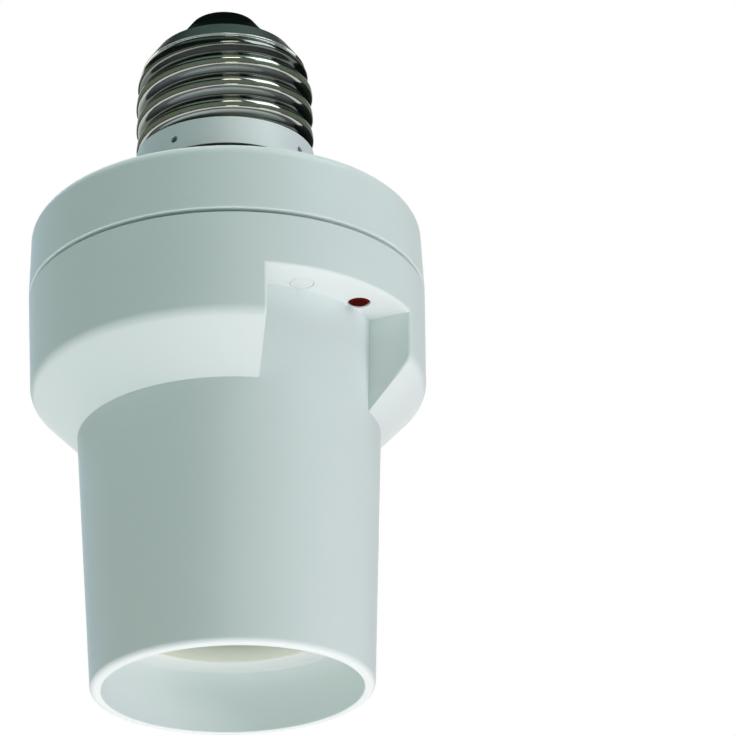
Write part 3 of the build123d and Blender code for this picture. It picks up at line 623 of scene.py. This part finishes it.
# Top cover
cover = lathe(
    "cover",
    [
        (LIP_R + 0.1, COVER_FOOT_Z),
        (COVER_R, COVER_FOOT_Z),
        COVER_CORNER,
        (NECK_R, NECK_Z),
        (NECK_SEAT_R, NECK_Z),
        (NECK_SEAT_R, NECK_SEAT_Z),
        (NECK_WALL_R, NECK_SEAT_Z),
        (NECK_WALL_R, NECK_WALL_TOP_Z),
        (SPIGOT_R, SPIGOT_Z),
        (SPIGOT_R, SPIGOT_TOP_Z),
        (SPIGOT_BORE_R, SPIGOT_TOP_Z),
        (SPIGOT_BORE_R, NECK_Z),
        COVER_INNER,
        (COVER_INNER[0], LIP_TOP_Z),
        (LIP_R + 0.1, LIP_TOP_Z),
    ],
    [0.1, 0.25, 2.3, 0.3, 0, 0, 0, 0, 0, 0.4, 0.4, 1, 1, 0, 0],
)
DIMPLE_TURNS = (18, 108, 198, 288)
DIMPLE_Z = 79.7
DIMPLE_R = 0.55
PUNCH_MIDDLE_R = 13.0
PUNCH_LENGTH = 1.4
RECESS_MIDDLE_R = 12.2
RECESS_R = 1.4
SHOULDER_RAMP = 0.2


def in_rows(line, row):
    """The line with points added, so that no step is much longer than a row."""
    made = []
    for first, second in zip(line, line[1:]):
        parts = max(1, round((second - first).length / row))
        made += [first.lerp(second, part / parts) for part in range(parts)]
    return made + [line[-1]]


def sheet_outline(outer_points, radii, row, wall):
    """A thin wall: the outer line cut into short rows, and the inner line beside it."""
    ends = [(0, outer_points[0][1])], [(0, outer_points[-1][1])]
    line = rounded(ends[0] + outer_points + ends[1], [0] + radii + [0])[1:-1]
    outer = in_rows(line, row)
    inner = []
    for index, point in enumerate(outer):
        before = outer[max(index - 1, 0)]
        after = outer[min(index + 1, len(outer) - 1)]
        along = (after - before).normalized()
        inner.append(point + wall * Vector((-along.y, along.x)))
    return outer + inner[::-1]


def roll_thread(
    piece, start_z, start_turn, turns, depth, narrow=1.0, fade=0.3, inside_r=1000, shoulder_z=0
):
    """Presses a helical groove into the sheet; its centre starts at a height and a turn. Only the
    points nearer the axis than inside_r and above shoulder_z move. A narrow above 1 leaves wider
    crests than grooves."""
    for vert in piece.data.vertices:
        x, y, z = vert.co / MM
        if math.hypot(x, y) > inside_r:
            continue
        turn_here = (math.atan2(x, -y) / (2 * math.pi)) % 1.0
        # whole turns that bring the groove's centre nearest to this height
        whole = round((z - start_z) / PITCH + start_turn - turn_here)
        travelled = whole + turn_here - start_turn
        offset = z - start_z - PITCH * travelled
        ease_in = min(max(travelled / fade, 0), 1)
        ease_out = min(max((turns - travelled) / fade, 0), 1)
        ease = ease_in ** 2 * (3 - 2 * ease_in) * ease_out ** 2 * (3 - 2 * ease_out)
        ease *= min(max((z - shoulder_z) / SHOULDER_RAMP, 0), 1)
        press = depth * ease * (0.5 + 0.5 * math.cos(2 * math.pi * offset / PITCH)) ** narrow
        radius = math.hypot(x, y)
        vert.co = Vector((x, y, 0)) * ((radius - press) / radius) * MM + Vector((0, 0, z * MM))


def cylinder(x, y, low, high, radius, vertices=48):
    """A cylinder along Z, given in millimetres, as the active object."""
    bpy.ops.mesh.primitive_cylinder_add(
        vertices=vertices,
        radius=radius * MM,
        depth=(high - low) * MM,
        location=(x * MM, y * MM, (low + high) / 2 * MM),
    )
    bpy.ops.object.transform_apply()
    return bpy.context.active_object


def block(x, y, z, width, depth, height):
    """A box centred at a place, in millimetres, as the active object."""
    bpy.ops.mesh.primitive_cube_add(
        size=1, location=(x * MM, y * MM, z * MM), scale=(width * MM, depth * MM, height * MM)
    )
    bpy.ops.object.transform_apply()
    return bpy.context.active_object


# Screw shell
shell = lathe(
    "shell",
    sheet_outline(
        [
            (CREST_R - 0.05, BAND_FOOT_Z),
            (CREST_R, BAND_TOP_Z),
            (CREST_R, CREST_END_Z),
            BEAD,
            SCORE,
            CONE_FOOT,
            CONE_TOP,
        ],
        [0, 0, 3, 1, 0.08, 0.12, 0],
        SHEET_ROW,
        SHEET,
    ),
    segments=THREAD_SEGMENTS,
)
roll_thread(
    shell,
    GROOVE_START_Z,
    GROOVE_START_TURN,
    GROOVE_TURNS,
    CREST_R - ROOT_R,
    narrow=1.9,
    fade=0.15,
    shoulder_z=BAND_TOP_Z,
)
for direction in DIMPLE_TURNS:
    # The staking punch: a tapered pin from outside
    x, y = notch_place(PUNCH_MIDDLE_R, direction)
    bpy.ops.mesh.primitive_cone_add(
        vertices=32,
        radius1=DIMPLE_R * 0.8 * MM,
        radius2=DIMPLE_R * 1.15 * MM,
        depth=PUNCH_LENGTH * MM,
        location=(x * MM, y * MM, DIMPLE_Z * MM),
        rotation=(math.radians(90), 0, math.radians(direction)),
    )
    punch = bpy.context.active_object
    cut(shell, punch)
settle(shell, "rolled_shell", shell_plate(), "adapter", "nickel_plate", "screw_shell", weigh=False)

for direction in DIMPLE_TURNS:
    # The neck gives way behind each dimple
    x, y = notch_place(RECESS_MIDDLE_R, direction)
    cut(cover, cylinder(x, y, DIMPLE_Z - 0.95, DIMPLE_Z + 0.9, RECESS_R))
settle(cover, "cover_shell", pale_plastic, "adapter", "pale_plastic", "top_cover")

# Insulator and solder contact of the cap
INSULATOR_FOOT_R = 10.05
INSULATOR_FOOT_Z = 97.6
INSULATOR_EDGE_Z = 98.3
INSULATOR_SHOULDER = (9.7, 99.3)
INSULATOR_WAIST = (6.4, 102.5)
INSULATOR_R = 4.8
INSULATOR_TOP_Z = 104.7
INSULATOR_BORE_R = 1.25
CONTACT_STEM_R = 1.2
CONTACT_STEM_Z = INSULATOR_FOOT_Z - 0.4
CONTACT_R = 3.5
CONTACT_SIDE = (3.3, 105.05)
CONTACT_SHOULDER = (2.1, 105.42)
CONTACT_TOP_Z = 105.5
insulator = lathe(
    "insulator",
    [
        (INSULATOR_BORE_R, INSULATOR_FOOT_Z),
        (INSULATOR_FOOT_R, INSULATOR_FOOT_Z),
        (INSULATOR_FOOT_R, INSULATOR_EDGE_Z),
        INSULATOR_SHOULDER,
        INSULATOR_WAIST,
        (INSULATOR_R, INSULATOR_TOP_Z),
        (INSULATOR_BORE_R, INSULATOR_TOP_Z),
    ],
    [0.1, 0.2, 0.2, 0.4, 1.0, 0.5, 0.2],
    segments=128,
)
settle(insulator, "glass_insulator", black_glass(), "adapter", "black_glass", "cap_insulator")

contact = lathe(
    "contact",
    [
        (0, CONTACT_STEM_Z),
        (CONTACT_STEM_R, CONTACT_STEM_Z),
        (CONTACT_STEM_R, INSULATOR_TOP_Z),
        (CONTACT_R, INSULATOR_TOP_Z),
        CONTACT_SIDE,
        CONTACT_SHOULDER,
        (0, CONTACT_TOP_Z),
    ],
    [0, 0.3, 0, 0.1, 0.3, 2.0, 0],
    segments=96,
)
settle(contact, "solder_contact", solder(), "adapter", "solder", "centre_contact")

# Indicator and button in the notch's roof, each with a wider collar above it
LENS_R = 1.5
LENS_COLLAR_R = 1.9
LENS_COLLAR_Z = 53.2
LENS_TOP_Z = 54.2
lens = lathe(
    "lens",
    [
        (0, ROOF_Z),
        (LENS_R, ROOF_Z),
        (LENS_R, LENS_COLLAR_Z),
        (LENS_COLLAR_R, LENS_COLLAR_Z),
        (LENS_COLLAR_R, LENS_TOP_Z),
        (0, LENS_TOP_Z),
    ],
    [0, 0.4, 0, 0.08, 0.15, 0],
    segments=64,
)
move(lens, *notch_place(HOLE_CIRCLE_R, HOLE_ANGLE))
settle(lens, "indicator_lens", red_lens(), "adapter", "red_lens", "indicator_led")

BUTTON_R = 1.65
BUTTON_COLLAR_R = 2.15
BUTTON_COLLAR_Z = 52.65
BUTTON_TOP_Z = 53.4
button = lathe(
    "button",
    [
        (0, ROOF_Z),
        (BUTTON_R, ROOF_Z),
        (BUTTON_R, BUTTON_COLLAR_Z),
        (BUTTON_COLLAR_R, BUTTON_COLLAR_Z),
        (BUTTON_COLLAR_R, BUTTON_TOP_Z),
        (0, BUTTON_TOP_Z),
    ],
    [0, 0.15, 0, 0.1, 0.1, 0],
    segments=64,
)
move(button, *notch_place(HOLE_CIRCLE_R, -HOLE_ANGLE))
settle(button, "push_button", button_plastic, "button", "pale_plastic", "pairing_button")

# Lampholder cup
HOLDER_FLOOR_Z = 38.0
HOLDER_FLOOR_TOP_Z = 42.0
HOLDER_TOP_Z = 46.5
EAR_Z = 44.6
EAR_X = 22.2
EAR_FOOT_X = 16.0
EAR_HALF = 3.2
EAR_HOLE_R = 1.7
HOLDER_R = 17.5
HOLDER_TOP_R = 15.0
HOLDER_BORE_R = 13.9
COLLAR_R = 14.85
COLLAR_FOOT_Z = 9.2
COLLAR_MOUTH_R = 14.65
COLLAR_THROAT_Z = 10.6
RIVET_HOLE_R = 1.25
STRIP_RIVET_X = -10.0
LUG_RIVET_Y = 11.0
cup = lathe(
    "cup",
    [
        (0, HOLDER_FLOOR_Z),
        (HOLDER_BORE_R, HOLDER_FLOOR_Z),
        (HOLDER_BORE_R, COLLAR_THROAT_Z),
        (COLLAR_MOUTH_R, COLLAR_FOOT_Z),
        (COLLAR_R, COLLAR_FOOT_Z),
        (COLLAR_R, LEDGE_TOP_Z),
        (HOLDER_R, LEDGE_TOP_Z),
        (HOLDER_R, HOLDER_TOP_Z),
        (HOLDER_TOP_R, HOLDER_TOP_Z),
        (HOLDER_TOP_R, HOLDER_FLOOR_TOP_Z),
        (0, HOLDER_FLOOR_TOP_Z),
    ],
    [0, 0.3, 3.8, 0.15, 0.1, 0, 0.4, 0.3, 0.3, 0.3, 0],
    segments=160,
)


def add_to(piece, other):
    """Unites another solid with the piece and deletes it."""
    modify(piece, "BOOLEAN", operation="UNION", object=other, solver="EXACT")
    bpy.data.objects.remove(other, do_unlink=True)


for side in (-1, 1):
    ear = block(
        side * (EAR_FOOT_X + EAR_X) / 2,
        0,
        (EAR_Z + HOLDER_TOP_Z) / 2,
        EAR_X - EAR_FOOT_X,
        2 * EAR_HALF,
        HOLDER_TOP_Z - EAR_Z,
    )
    add_to(cup, ear)
    add_to(cup, cylinder(side * EAR_X, 0, EAR_Z, HOLDER_TOP_Z, EAR_HALF))
for side in (-1, 1):
    cut(cup, cylinder(side * EAR_X, 0, EAR_Z - 2, HOLDER_TOP_Z + 2, EAR_HOLE_R))
for x, y in ((STRIP_RIVET_X, 0), (0, LUG_RIVET_Y), (0, -LUG_RIVET_Y)):
    cut(cup, cylinder(x, y, HOLDER_FLOOR_Z - 2, HOLDER_FLOOR_TOP_Z + 2, RIVET_HOLE_R))
settle(cup, "lampholder_cup", cream_plastic, "adapter", "cream_plastic", "lampholder_body")

# Lamp's thread shell, staked under the floor by two lugs
LAMP_SHELL_FOOT_Z = 15.0
LAMP_CREST_R = 12.25
LAMP_ROOT_R = 13.35
LAMP_SHELL_R = 13.75
LAMP_THREAD_END_Z = 34.0
LAMP_GROOVE_START_Z = 17.0
LAMP_GROOVE_START_TURN = 0.25
LAMP_GROOVE_TURNS = 4.2
LUG_THICKNESS = 0.5
LUG_REACH_R = 8.5
LUG_HALF = 3.0
lamp_shell_line = rounded(
    [
        (LAMP_SHELL_R, LAMP_SHELL_FOOT_Z),
        (LAMP_SHELL_R, HOLDER_FLOOR_Z),
        (LAMP_ROOT_R - 0.1, HOLDER_FLOOR_Z),
        (LAMP_ROOT_R - 0.1, LAMP_THREAD_END_Z + 0.8),
        (LAMP_CREST_R, LAMP_THREAD_END_Z),
        (LAMP_CREST_R, LAMP_SHELL_FOOT_Z + 1),
        (LAMP_ROOT_R, LAMP_SHELL_FOOT_Z),
    ],
    [0.15, 0.1, 0.1, 0.1, 0.5, 0.5, 0.15],
    4,
)
lamp_shell = lathe("lamp_shell", in_rows(lamp_shell_line, 0.22), segments=144)
roll_thread(
    lamp_shell,
    LAMP_GROOVE_START_Z,
    LAMP_GROOVE_START_TURN,
    LAMP_GROOVE_TURNS,
    LAMP_CREST_R - LAMP_ROOT_R,
    inside_r=13.0,
)
lug_z = HOLDER_FLOOR_Z - LUG_THICKNESS / 2
for side in (-1, 1):
    lug = block(
        0,
        side * (LUG_REACH_R + LAMP_ROOT_R + 0.2) / 2,
        lug_z,
        2 * LUG_HALF,
        LAMP_ROOT_R + 0.2 - LUG_REACH_R,
        LUG_THICKNESS,
    )
    cut(lug, cylinder(0, side * LUG_RIVET_Y, lug_z - 2, lug_z + 2, RIVET_HOLE_R))
    add_to(lamp_shell, lug)
inner_plate = polished("inner_plate", (0.62, 0.63, 0.62, 1), 0.18)
settle(
    lamp_shell, "lamp_screw_shell", inner_plate, "adapter", "nickel_plate", "lamp_thread_shell",
    weigh=False,
)

# Rivets of the shell and the contact strip
TERMINAL_TOP_Z = HOLDER_FLOOR_TOP_Z + 0.5
RIVET_R = 1.2
RIVET_HEAD_R = 2.0
RIVET_HEAD = 0.8


def rivet(x, y, low, high):
    """A rivet along Z with a domed head under low and another over high."""
    made = lathe(
        "rivet",
        [
            (0, low - RIVET_HEAD),
            (RIVET_HEAD_R, low - RIVET_HEAD),
            (RIVET_HEAD_R, low),
            (RIVET_R, low),
            (RIVET_R, high),
            (RIVET_HEAD_R, high),
            (RIVET_HEAD_R, high + RIVET_HEAD),
            (0, high + RIVET_HEAD),
        ],
        [0, 0.7, 0.05, 0, 0, 0.05, 0.7, 0],
        segments=64,
    )
    move(made, x, y)
    return made


brass = polished("brass", (0.72, 0.53, 0.24, 1), 0.25)
shell_rivets = rivet(0, LUG_RIVET_Y, HOLDER_FLOOR_Z - LUG_THICKNESS, TERMINAL_TOP_Z)
other_rivet = rivet(0, -LUG_RIVET_Y, HOLDER_FLOOR_Z - LUG_THICKNESS, HOLDER_FLOOR_TOP_Z)
make_active(shell_rivets)
other_rivet.select_set(True)
bpy.ops.object.join()
settle(shell_rivets, "shell_rivet_pair", brass, "adapter", "brass", "shell_rivets")
strip_rivet = rivet(STRIP_RIVET_X, 0, HOLDER_FLOOR_Z - 0.5, TERMINAL_TOP_Z)
settle(strip_rivet, "strip_rivet", brass, "adapter", "brass", "contact_rivet")

# Contact strip: the riveted foot and the sprung tongue
STRIP_HALF = 2.3
STRIP_THICKNESS = 0.5
STRIP_END = 2.4
HINGE_X = -7.5
HINGE_GAP = 0.1
strip_foot = block(
    (STRIP_RIVET_X - STRIP_END + HINGE_X - HINGE_GAP) / 2,
    0,
    HOLDER_FLOOR_Z - STRIP_THICKNESS / 2,
    HINGE_X - HINGE_GAP - STRIP_RIVET_X + STRIP_END,
    2 * STRIP_HALF,
    STRIP_THICKNESS,
)
bevel_edges(strip_foot, lambda first, second: abs(first.z - second.z) > 0.1, 0.5, 6)
cut(strip_foot, cylinder(STRIP_RIVET_X, 0, HOLDER_FLOOR_Z - 2, HOLDER_FLOOR_Z + 2, RIVET_HOLE_R))
settle(strip_foot, "strip_foot", brass, "adapter", "brass", "contact_base")


def band_outline(line, radii, thickness):
    """The closed outline of a strip seen edge on, along a line with rounded bends."""
    inner = [line[0]] + list(line) + [line[-1]]
    bent = rounded(inner, [0, 0] + list(radii[1:-1]) + [0, 0], 10)[1:-1]
    sides = ([], [])
    for index, point in enumerate(bent):
        along = (bent[min(index + 1, len(bent) - 1)] - bent[max(index - 1, 0)]).normalized()
        across = Vector((-along.y, along.x)) * thickness / 2
        sides[0].append(point + across)
        sides[1].append(point - across)
    return sides[0] + sides[1][::-1]


def extruded(name, outline, half_width):
    """A piece whose outline in X and Z is drawn out along Y to both sides."""
    piece = drawn_line(name, [(x, -half_width, z) for x, z in outline], closed=True)
    make_active(piece)
    bpy.ops.object.mode_set(mode="EDIT")
    bpy.ops.mesh.select_all(action="SELECT")
    bpy.ops.mesh.edge_face_add()
    bpy.ops.mesh.extrude_region_move(
        TRANSFORM_OT_translate={"value": (0, 2 * half_width * MM, 0)}
    )
    bpy.ops.object.mode_set(mode="OBJECT")
    outward(piece)
    return piece


TONGUE_HALF = STRIP_HALF - 0.2
TONGUE_LINE = [(HINGE_X + 0.05, 37.68), (-2.2, 35.75), (0, 35.35), (2.2, 35.95)]
tongue = extruded(
    "tongue", band_outline(TONGUE_LINE, [0, 2.5, 2.5, 0], STRIP_THICKNESS), TONGUE_HALF
)
TIP_X = 2.0


def on_tip(first, second):
    """The two upright corner edges of the tongue's free end."""
    at_tip = min(first.x, second.x) > TIP_X
    return at_tip and abs(first.y - second.y) < 0.01 < abs(first.z - second.z)


bevel_edges(tongue, on_tip, 1.2, 6)
settle(tongue, "contact_spring", brass, "tongue", "brass", "contact_tongue")

# Floor, and the tent of cloth that the metal mirrors
FLOOR_Z = -600.0
FLOOR_SIZE = 3200.0
bpy.ops.mesh.primitive_plane_add(size=FLOOR_SIZE * MM, location=(0, 0, FLOOR_Z * MM))
floor = bpy.context.active_object
bpy.ops.object.transform_apply()
floor.name = "floor"
ground = Finish("floor_paint", Roughness=0.8, Emission_Strength=1.0)
ground.feed(
    "Base Color",
    ground.blend(ground.noise(3, 2), (0.80, 0.80, 0.80, 1), (0.84, 0.84, 0.84, 1)),
)
# The camera sees the floor pale; it gives the object no more light
looked_at = ground.node("ShaderNodeLightPath", {}, {}, "Is Camera Ray")
ground.feed("Emission Color", ground.blend(looked_at, (0, 0, 0, 1), (0.46, 0.44, 0.42, 1)))
floor.data.materials.append(ground.material)

TENT_R = 1200.0
TENT_CENTRE_Z = 60.0
TENT_FOOT = 3
TENT_OPENING_TOP = 45
TENT_OPENING = 50
TENT_BORDER = 0.08
CARD_AZIMUTH = 112
CARD_WIDTH = 44
CARD_FOOT = -40
CARD_R = 0.95
CAMERA_AZIMUTH = -37.9


def tent_point(rise):
    """A point of the tent's arc, at an angle above its centre."""
    turn = math.radians(rise)
    return (TENT_R * math.cos(turn), TENT_CENTRE_Z + TENT_R * math.sin(turn))


cloth = Finish("tent_cloth", Roughness=0.9)
cloth_height = cloth.height()


def between(low, high):
    """1 between two elevations of the tent and 0 beyond, with soft borders."""
    first, last = (tent_point(angle)[1] * MM for angle in (low, high))
    above_low = cloth_height.band(first, first + TENT_BORDER)
    return above_low - cloth_height.band(last, last + TENT_BORDER)


walls = cloth.blend(between(12, 36), (0.02, 0.024, 0.022, 1), (0.28, 0.28, 0.215, 1))
crown = cloth_height.band(tent_point(58)[1] * MM, tent_point(66)[1] * MM)
cloth.feed("Base Color", cloth.blend(crown, walls, (0.36, 0.47, 0.43, 1)))
roof_line = [(0, tent_point(90)[1])]
roof_line += [tent_point(rise) for rise in range(87, TENT_OPENING_TOP - 1, -3)]
tent_roof = outline_piece("tent_roof", roof_line)
spin(tent_roof, 2 * math.pi, 64)
side_line = [tent_point(rise) for rise in range(TENT_OPENING_TOP, TENT_FOOT - 1, -3)]
tent_side = drawn_line(
    "tent_side",
    [(*notch_place(radius, CAMERA_AZIMUTH + 180 + TENT_OPENING / 2), z) for radius, z in side_line],
    closed=False,
)
spin(tent_side, math.radians(360 - TENT_OPENING), 48)
card_line = [tent_point(rise) for rise in range(TENT_OPENING_TOP, CARD_FOOT - 1, -5)]
dark_card = drawn_line(
    "dark_card",
    [(*notch_place(CARD_R * radius, CAMERA_AZIMUTH + CARD_AZIMUTH), z) for radius, z in card_line],
    closed=False,
)
spin(dark_card, math.radians(CARD_WIDTH), 12)
for tent in (tent_roof, tent_side, dark_card):
    tent.data.materials.append(cloth.material)
    tent.visible_camera = False


def lamp(name, place, size, watts, colour=(1, 1, 1), aim=(0, 0, 0.05), tall=None):
    """A soft lamp that faces the object: square, or a strip of its own height."""
    data = bpy.data.lights.new(name, "AREA")
    data.shape = "RECTANGLE"
    data.size = size
    data.size_y = tall or size
    data.energy = watts
    data.color = colour
    light = bpy.data.objects.new(name, data)
    light.location = place
    light.rotation_euler = (Vector(aim) - Vector(place)).to_track_quat("-Z", "Y").to_euler()
    light.visible_camera = False
    bpy.context.scene.collection.objects.link(light)
    return light


# The camera's place and aim about its azimuth from -Y
CAMERA_DISTANCE = 409.96
CAMERA_Z = -142.74
PAN = 0.0486
TILT = 0.4351
ROLL = -0.0348
LENS_PX = 3165.93
PHOTO_PX = 736
SENSOR = 36.0


def photo_camera():
    """A camera where the photograph's was, aimed and rolled as it was."""
    azimuth = Matrix.Rotation(math.radians(CAMERA_AZIMUTH), 3, "Z")
    ahead = Vector(
        (math.sin(PAN) * math.cos(TILT), math.cos(PAN) * math.cos(TILT), math.sin(TILT))
    )
    right = ahead.cross(Vector((0, 0, 1))).normalized()
    up = right.cross(ahead)
    right, up = (
        math.cos(ROLL) * right + math.sin(ROLL) * up,
        math.cos(ROLL) * up - math.sin(ROLL) * right,
    )
    turned = azimuth @ Matrix((right, up, -ahead)).transposed()
    place = azimuth @ Vector((0, -CAMERA_DISTANCE * MM, CAMERA_Z * MM))
    data = bpy.data.cameras.new("camera")
    data.sensor_width = SENSOR
    data.lens = LENS_PX / PHOTO_PX * SENSOR
    data.clip_start = 0.01
    camera = bpy.data.objects.new("camera", data)
    camera.matrix_world = Matrix.Translation(place) @ turned.to_4x4()
    bpy.context.scene.collection.objects.link(camera)
    bpy.context.scene.camera = camera


photo_camera()
camera_side = Matrix.Rotation(math.radians(CAMERA_AZIMUTH), 3, "Z")


def from_camera(right, away, up):
    """A place given by metres to the camera's right, away from it, and up, about the axis."""
    return camera_side @ Vector((right, away, up))


def around(azimuth, elevation, distance=0.7):
    """A place about the object, at an azimuth to the camera's right and an elevation."""
    turn = math.radians(azimuth)
    rise = math.radians(elevation)
    flat = distance * math.cos(rise)
    up = 0.06 + distance * math.sin(rise)
    return from_camera(flat * math.sin(turn), -flat * math.cos(turn), up)


lamp("key", around(60, 50), 0.35, 1.32, (0.88, 1.0, 0.99))
lamp("key_strip", around(58, 6), 0.35, 0.14, tall=0.06)
# Two strips that show only as highlights on the metal
for strip in (
    lamp("front_high", around(10, 45), 0.22, 0.26, (1.0, 0.97, 0.80), tall=0.09),
    lamp("front_low", around(10, 7), 0.18, 0.12, (1.0, 0.97, 0.80), tall=0.06),
):
    strip.visible_diffuse = False
# The rest don't show in the metal
unseen = [
    lamp("key_low", around(75, -20), 0.2, 1.28, (1.0, 0.86, 1.0)),
    lamp("back_left", around(-140, 40), 0.2, 3.4, (0.55, 0.66, 1.0)),
    lamp("top", (0, 0, 0.9), 0.3, 5.2),
    lamp("wide_from_below", (0, 0, -0.59), 5.0, 73.0, (0.51, 1.0, 0.94), aim=(0, 0, 1)),
    lamp("near_from_below", (0, 0, -0.585), 1.5, 4.8, (1.0, 0.03, 0.07), aim=(0, 0, 1)),
]
for soft in unseen:
    soft.visible_glossy = False

world = bpy.data.worlds.new("studio")
world.use_nodes = True
bpy.context.scene.world = world
sky = world.node_tree
backdrop = sky.nodes["Background"]
paths = sky.nodes.new("ShaderNodeLightPath")
# White for the camera, and for what glass and metal show; the sky lights nothing else
seen = paths.outputs["Is Camera Ray"]
for ray in ("Is Transmission Ray", "Is Glossy Ray"):
    either = sky.nodes.new("ShaderNodeMath")
    either.operation = "MAXIMUM"
    sky.links.new(seen, either.inputs[0])
    sky.links.new(paths.outputs[ray], either.inputs[1])
    seen = either.outputs[0]
sky.links.new(seen, backdrop.inputs["Strength"])
backdrop.inputs["Color"].default_value = (1, 1, 1, 1)

bpy.context.scene.view_settings.view_transform = "Standard"

# Finishes of the model's own nodes that keep their shape
slot_finishes = {
    "pale_plastic": button_plastic,
    "nickel_plate": inner_plate,
    "black_glass": insulator.data.materials[0],
    "solder": contact.data.materials[0],
    "red_lens": lens.data.materials[0],
    "tinned_steel": polished("tinned_steel", (0.55, 0.56, 0.57, 1), 0.3),
    "black_plastic": black_plastic,
    "cream_plastic": cream_plastic,
    "brass": brass,
    "board": board(),
    "aluminium": polished("aluminium", (0.72, 0.73, 0.74, 1), 0.32),
    "ferrite": moulded("ferrite", (0.03, 0.03, 0.032, 1), 0.6),
    "copper": polished("copper", (0.62, 0.27, 0.13, 1), 0.3),
    "yellow_case": moulded("yellow_case", (0.68, 0.45, 0.02, 1), 0.4),
    "dark_sleeve": moulded("dark_sleeve", (0.01, 0.012, 0.03, 1), 0.25),
    "grey_ceramic": moulded("grey_ceramic", (0.32, 0.32, 0.30, 1), 0.7),
    "red_insulation": moulded("red_insulation", (0.32, 0.01, 0.008, 1), 0.45),
    "white_insulation": moulded("white_insulation", (0.70, 0.70, 0.68, 1), 0.45),
}
for subpart in frame["record"]["subparts"]:
    node = frame["nodes"][subpart["node"]]
    node.data.materials.clear()
    node.data.materials.append(slot_finishes[subpart["material_slot"]])
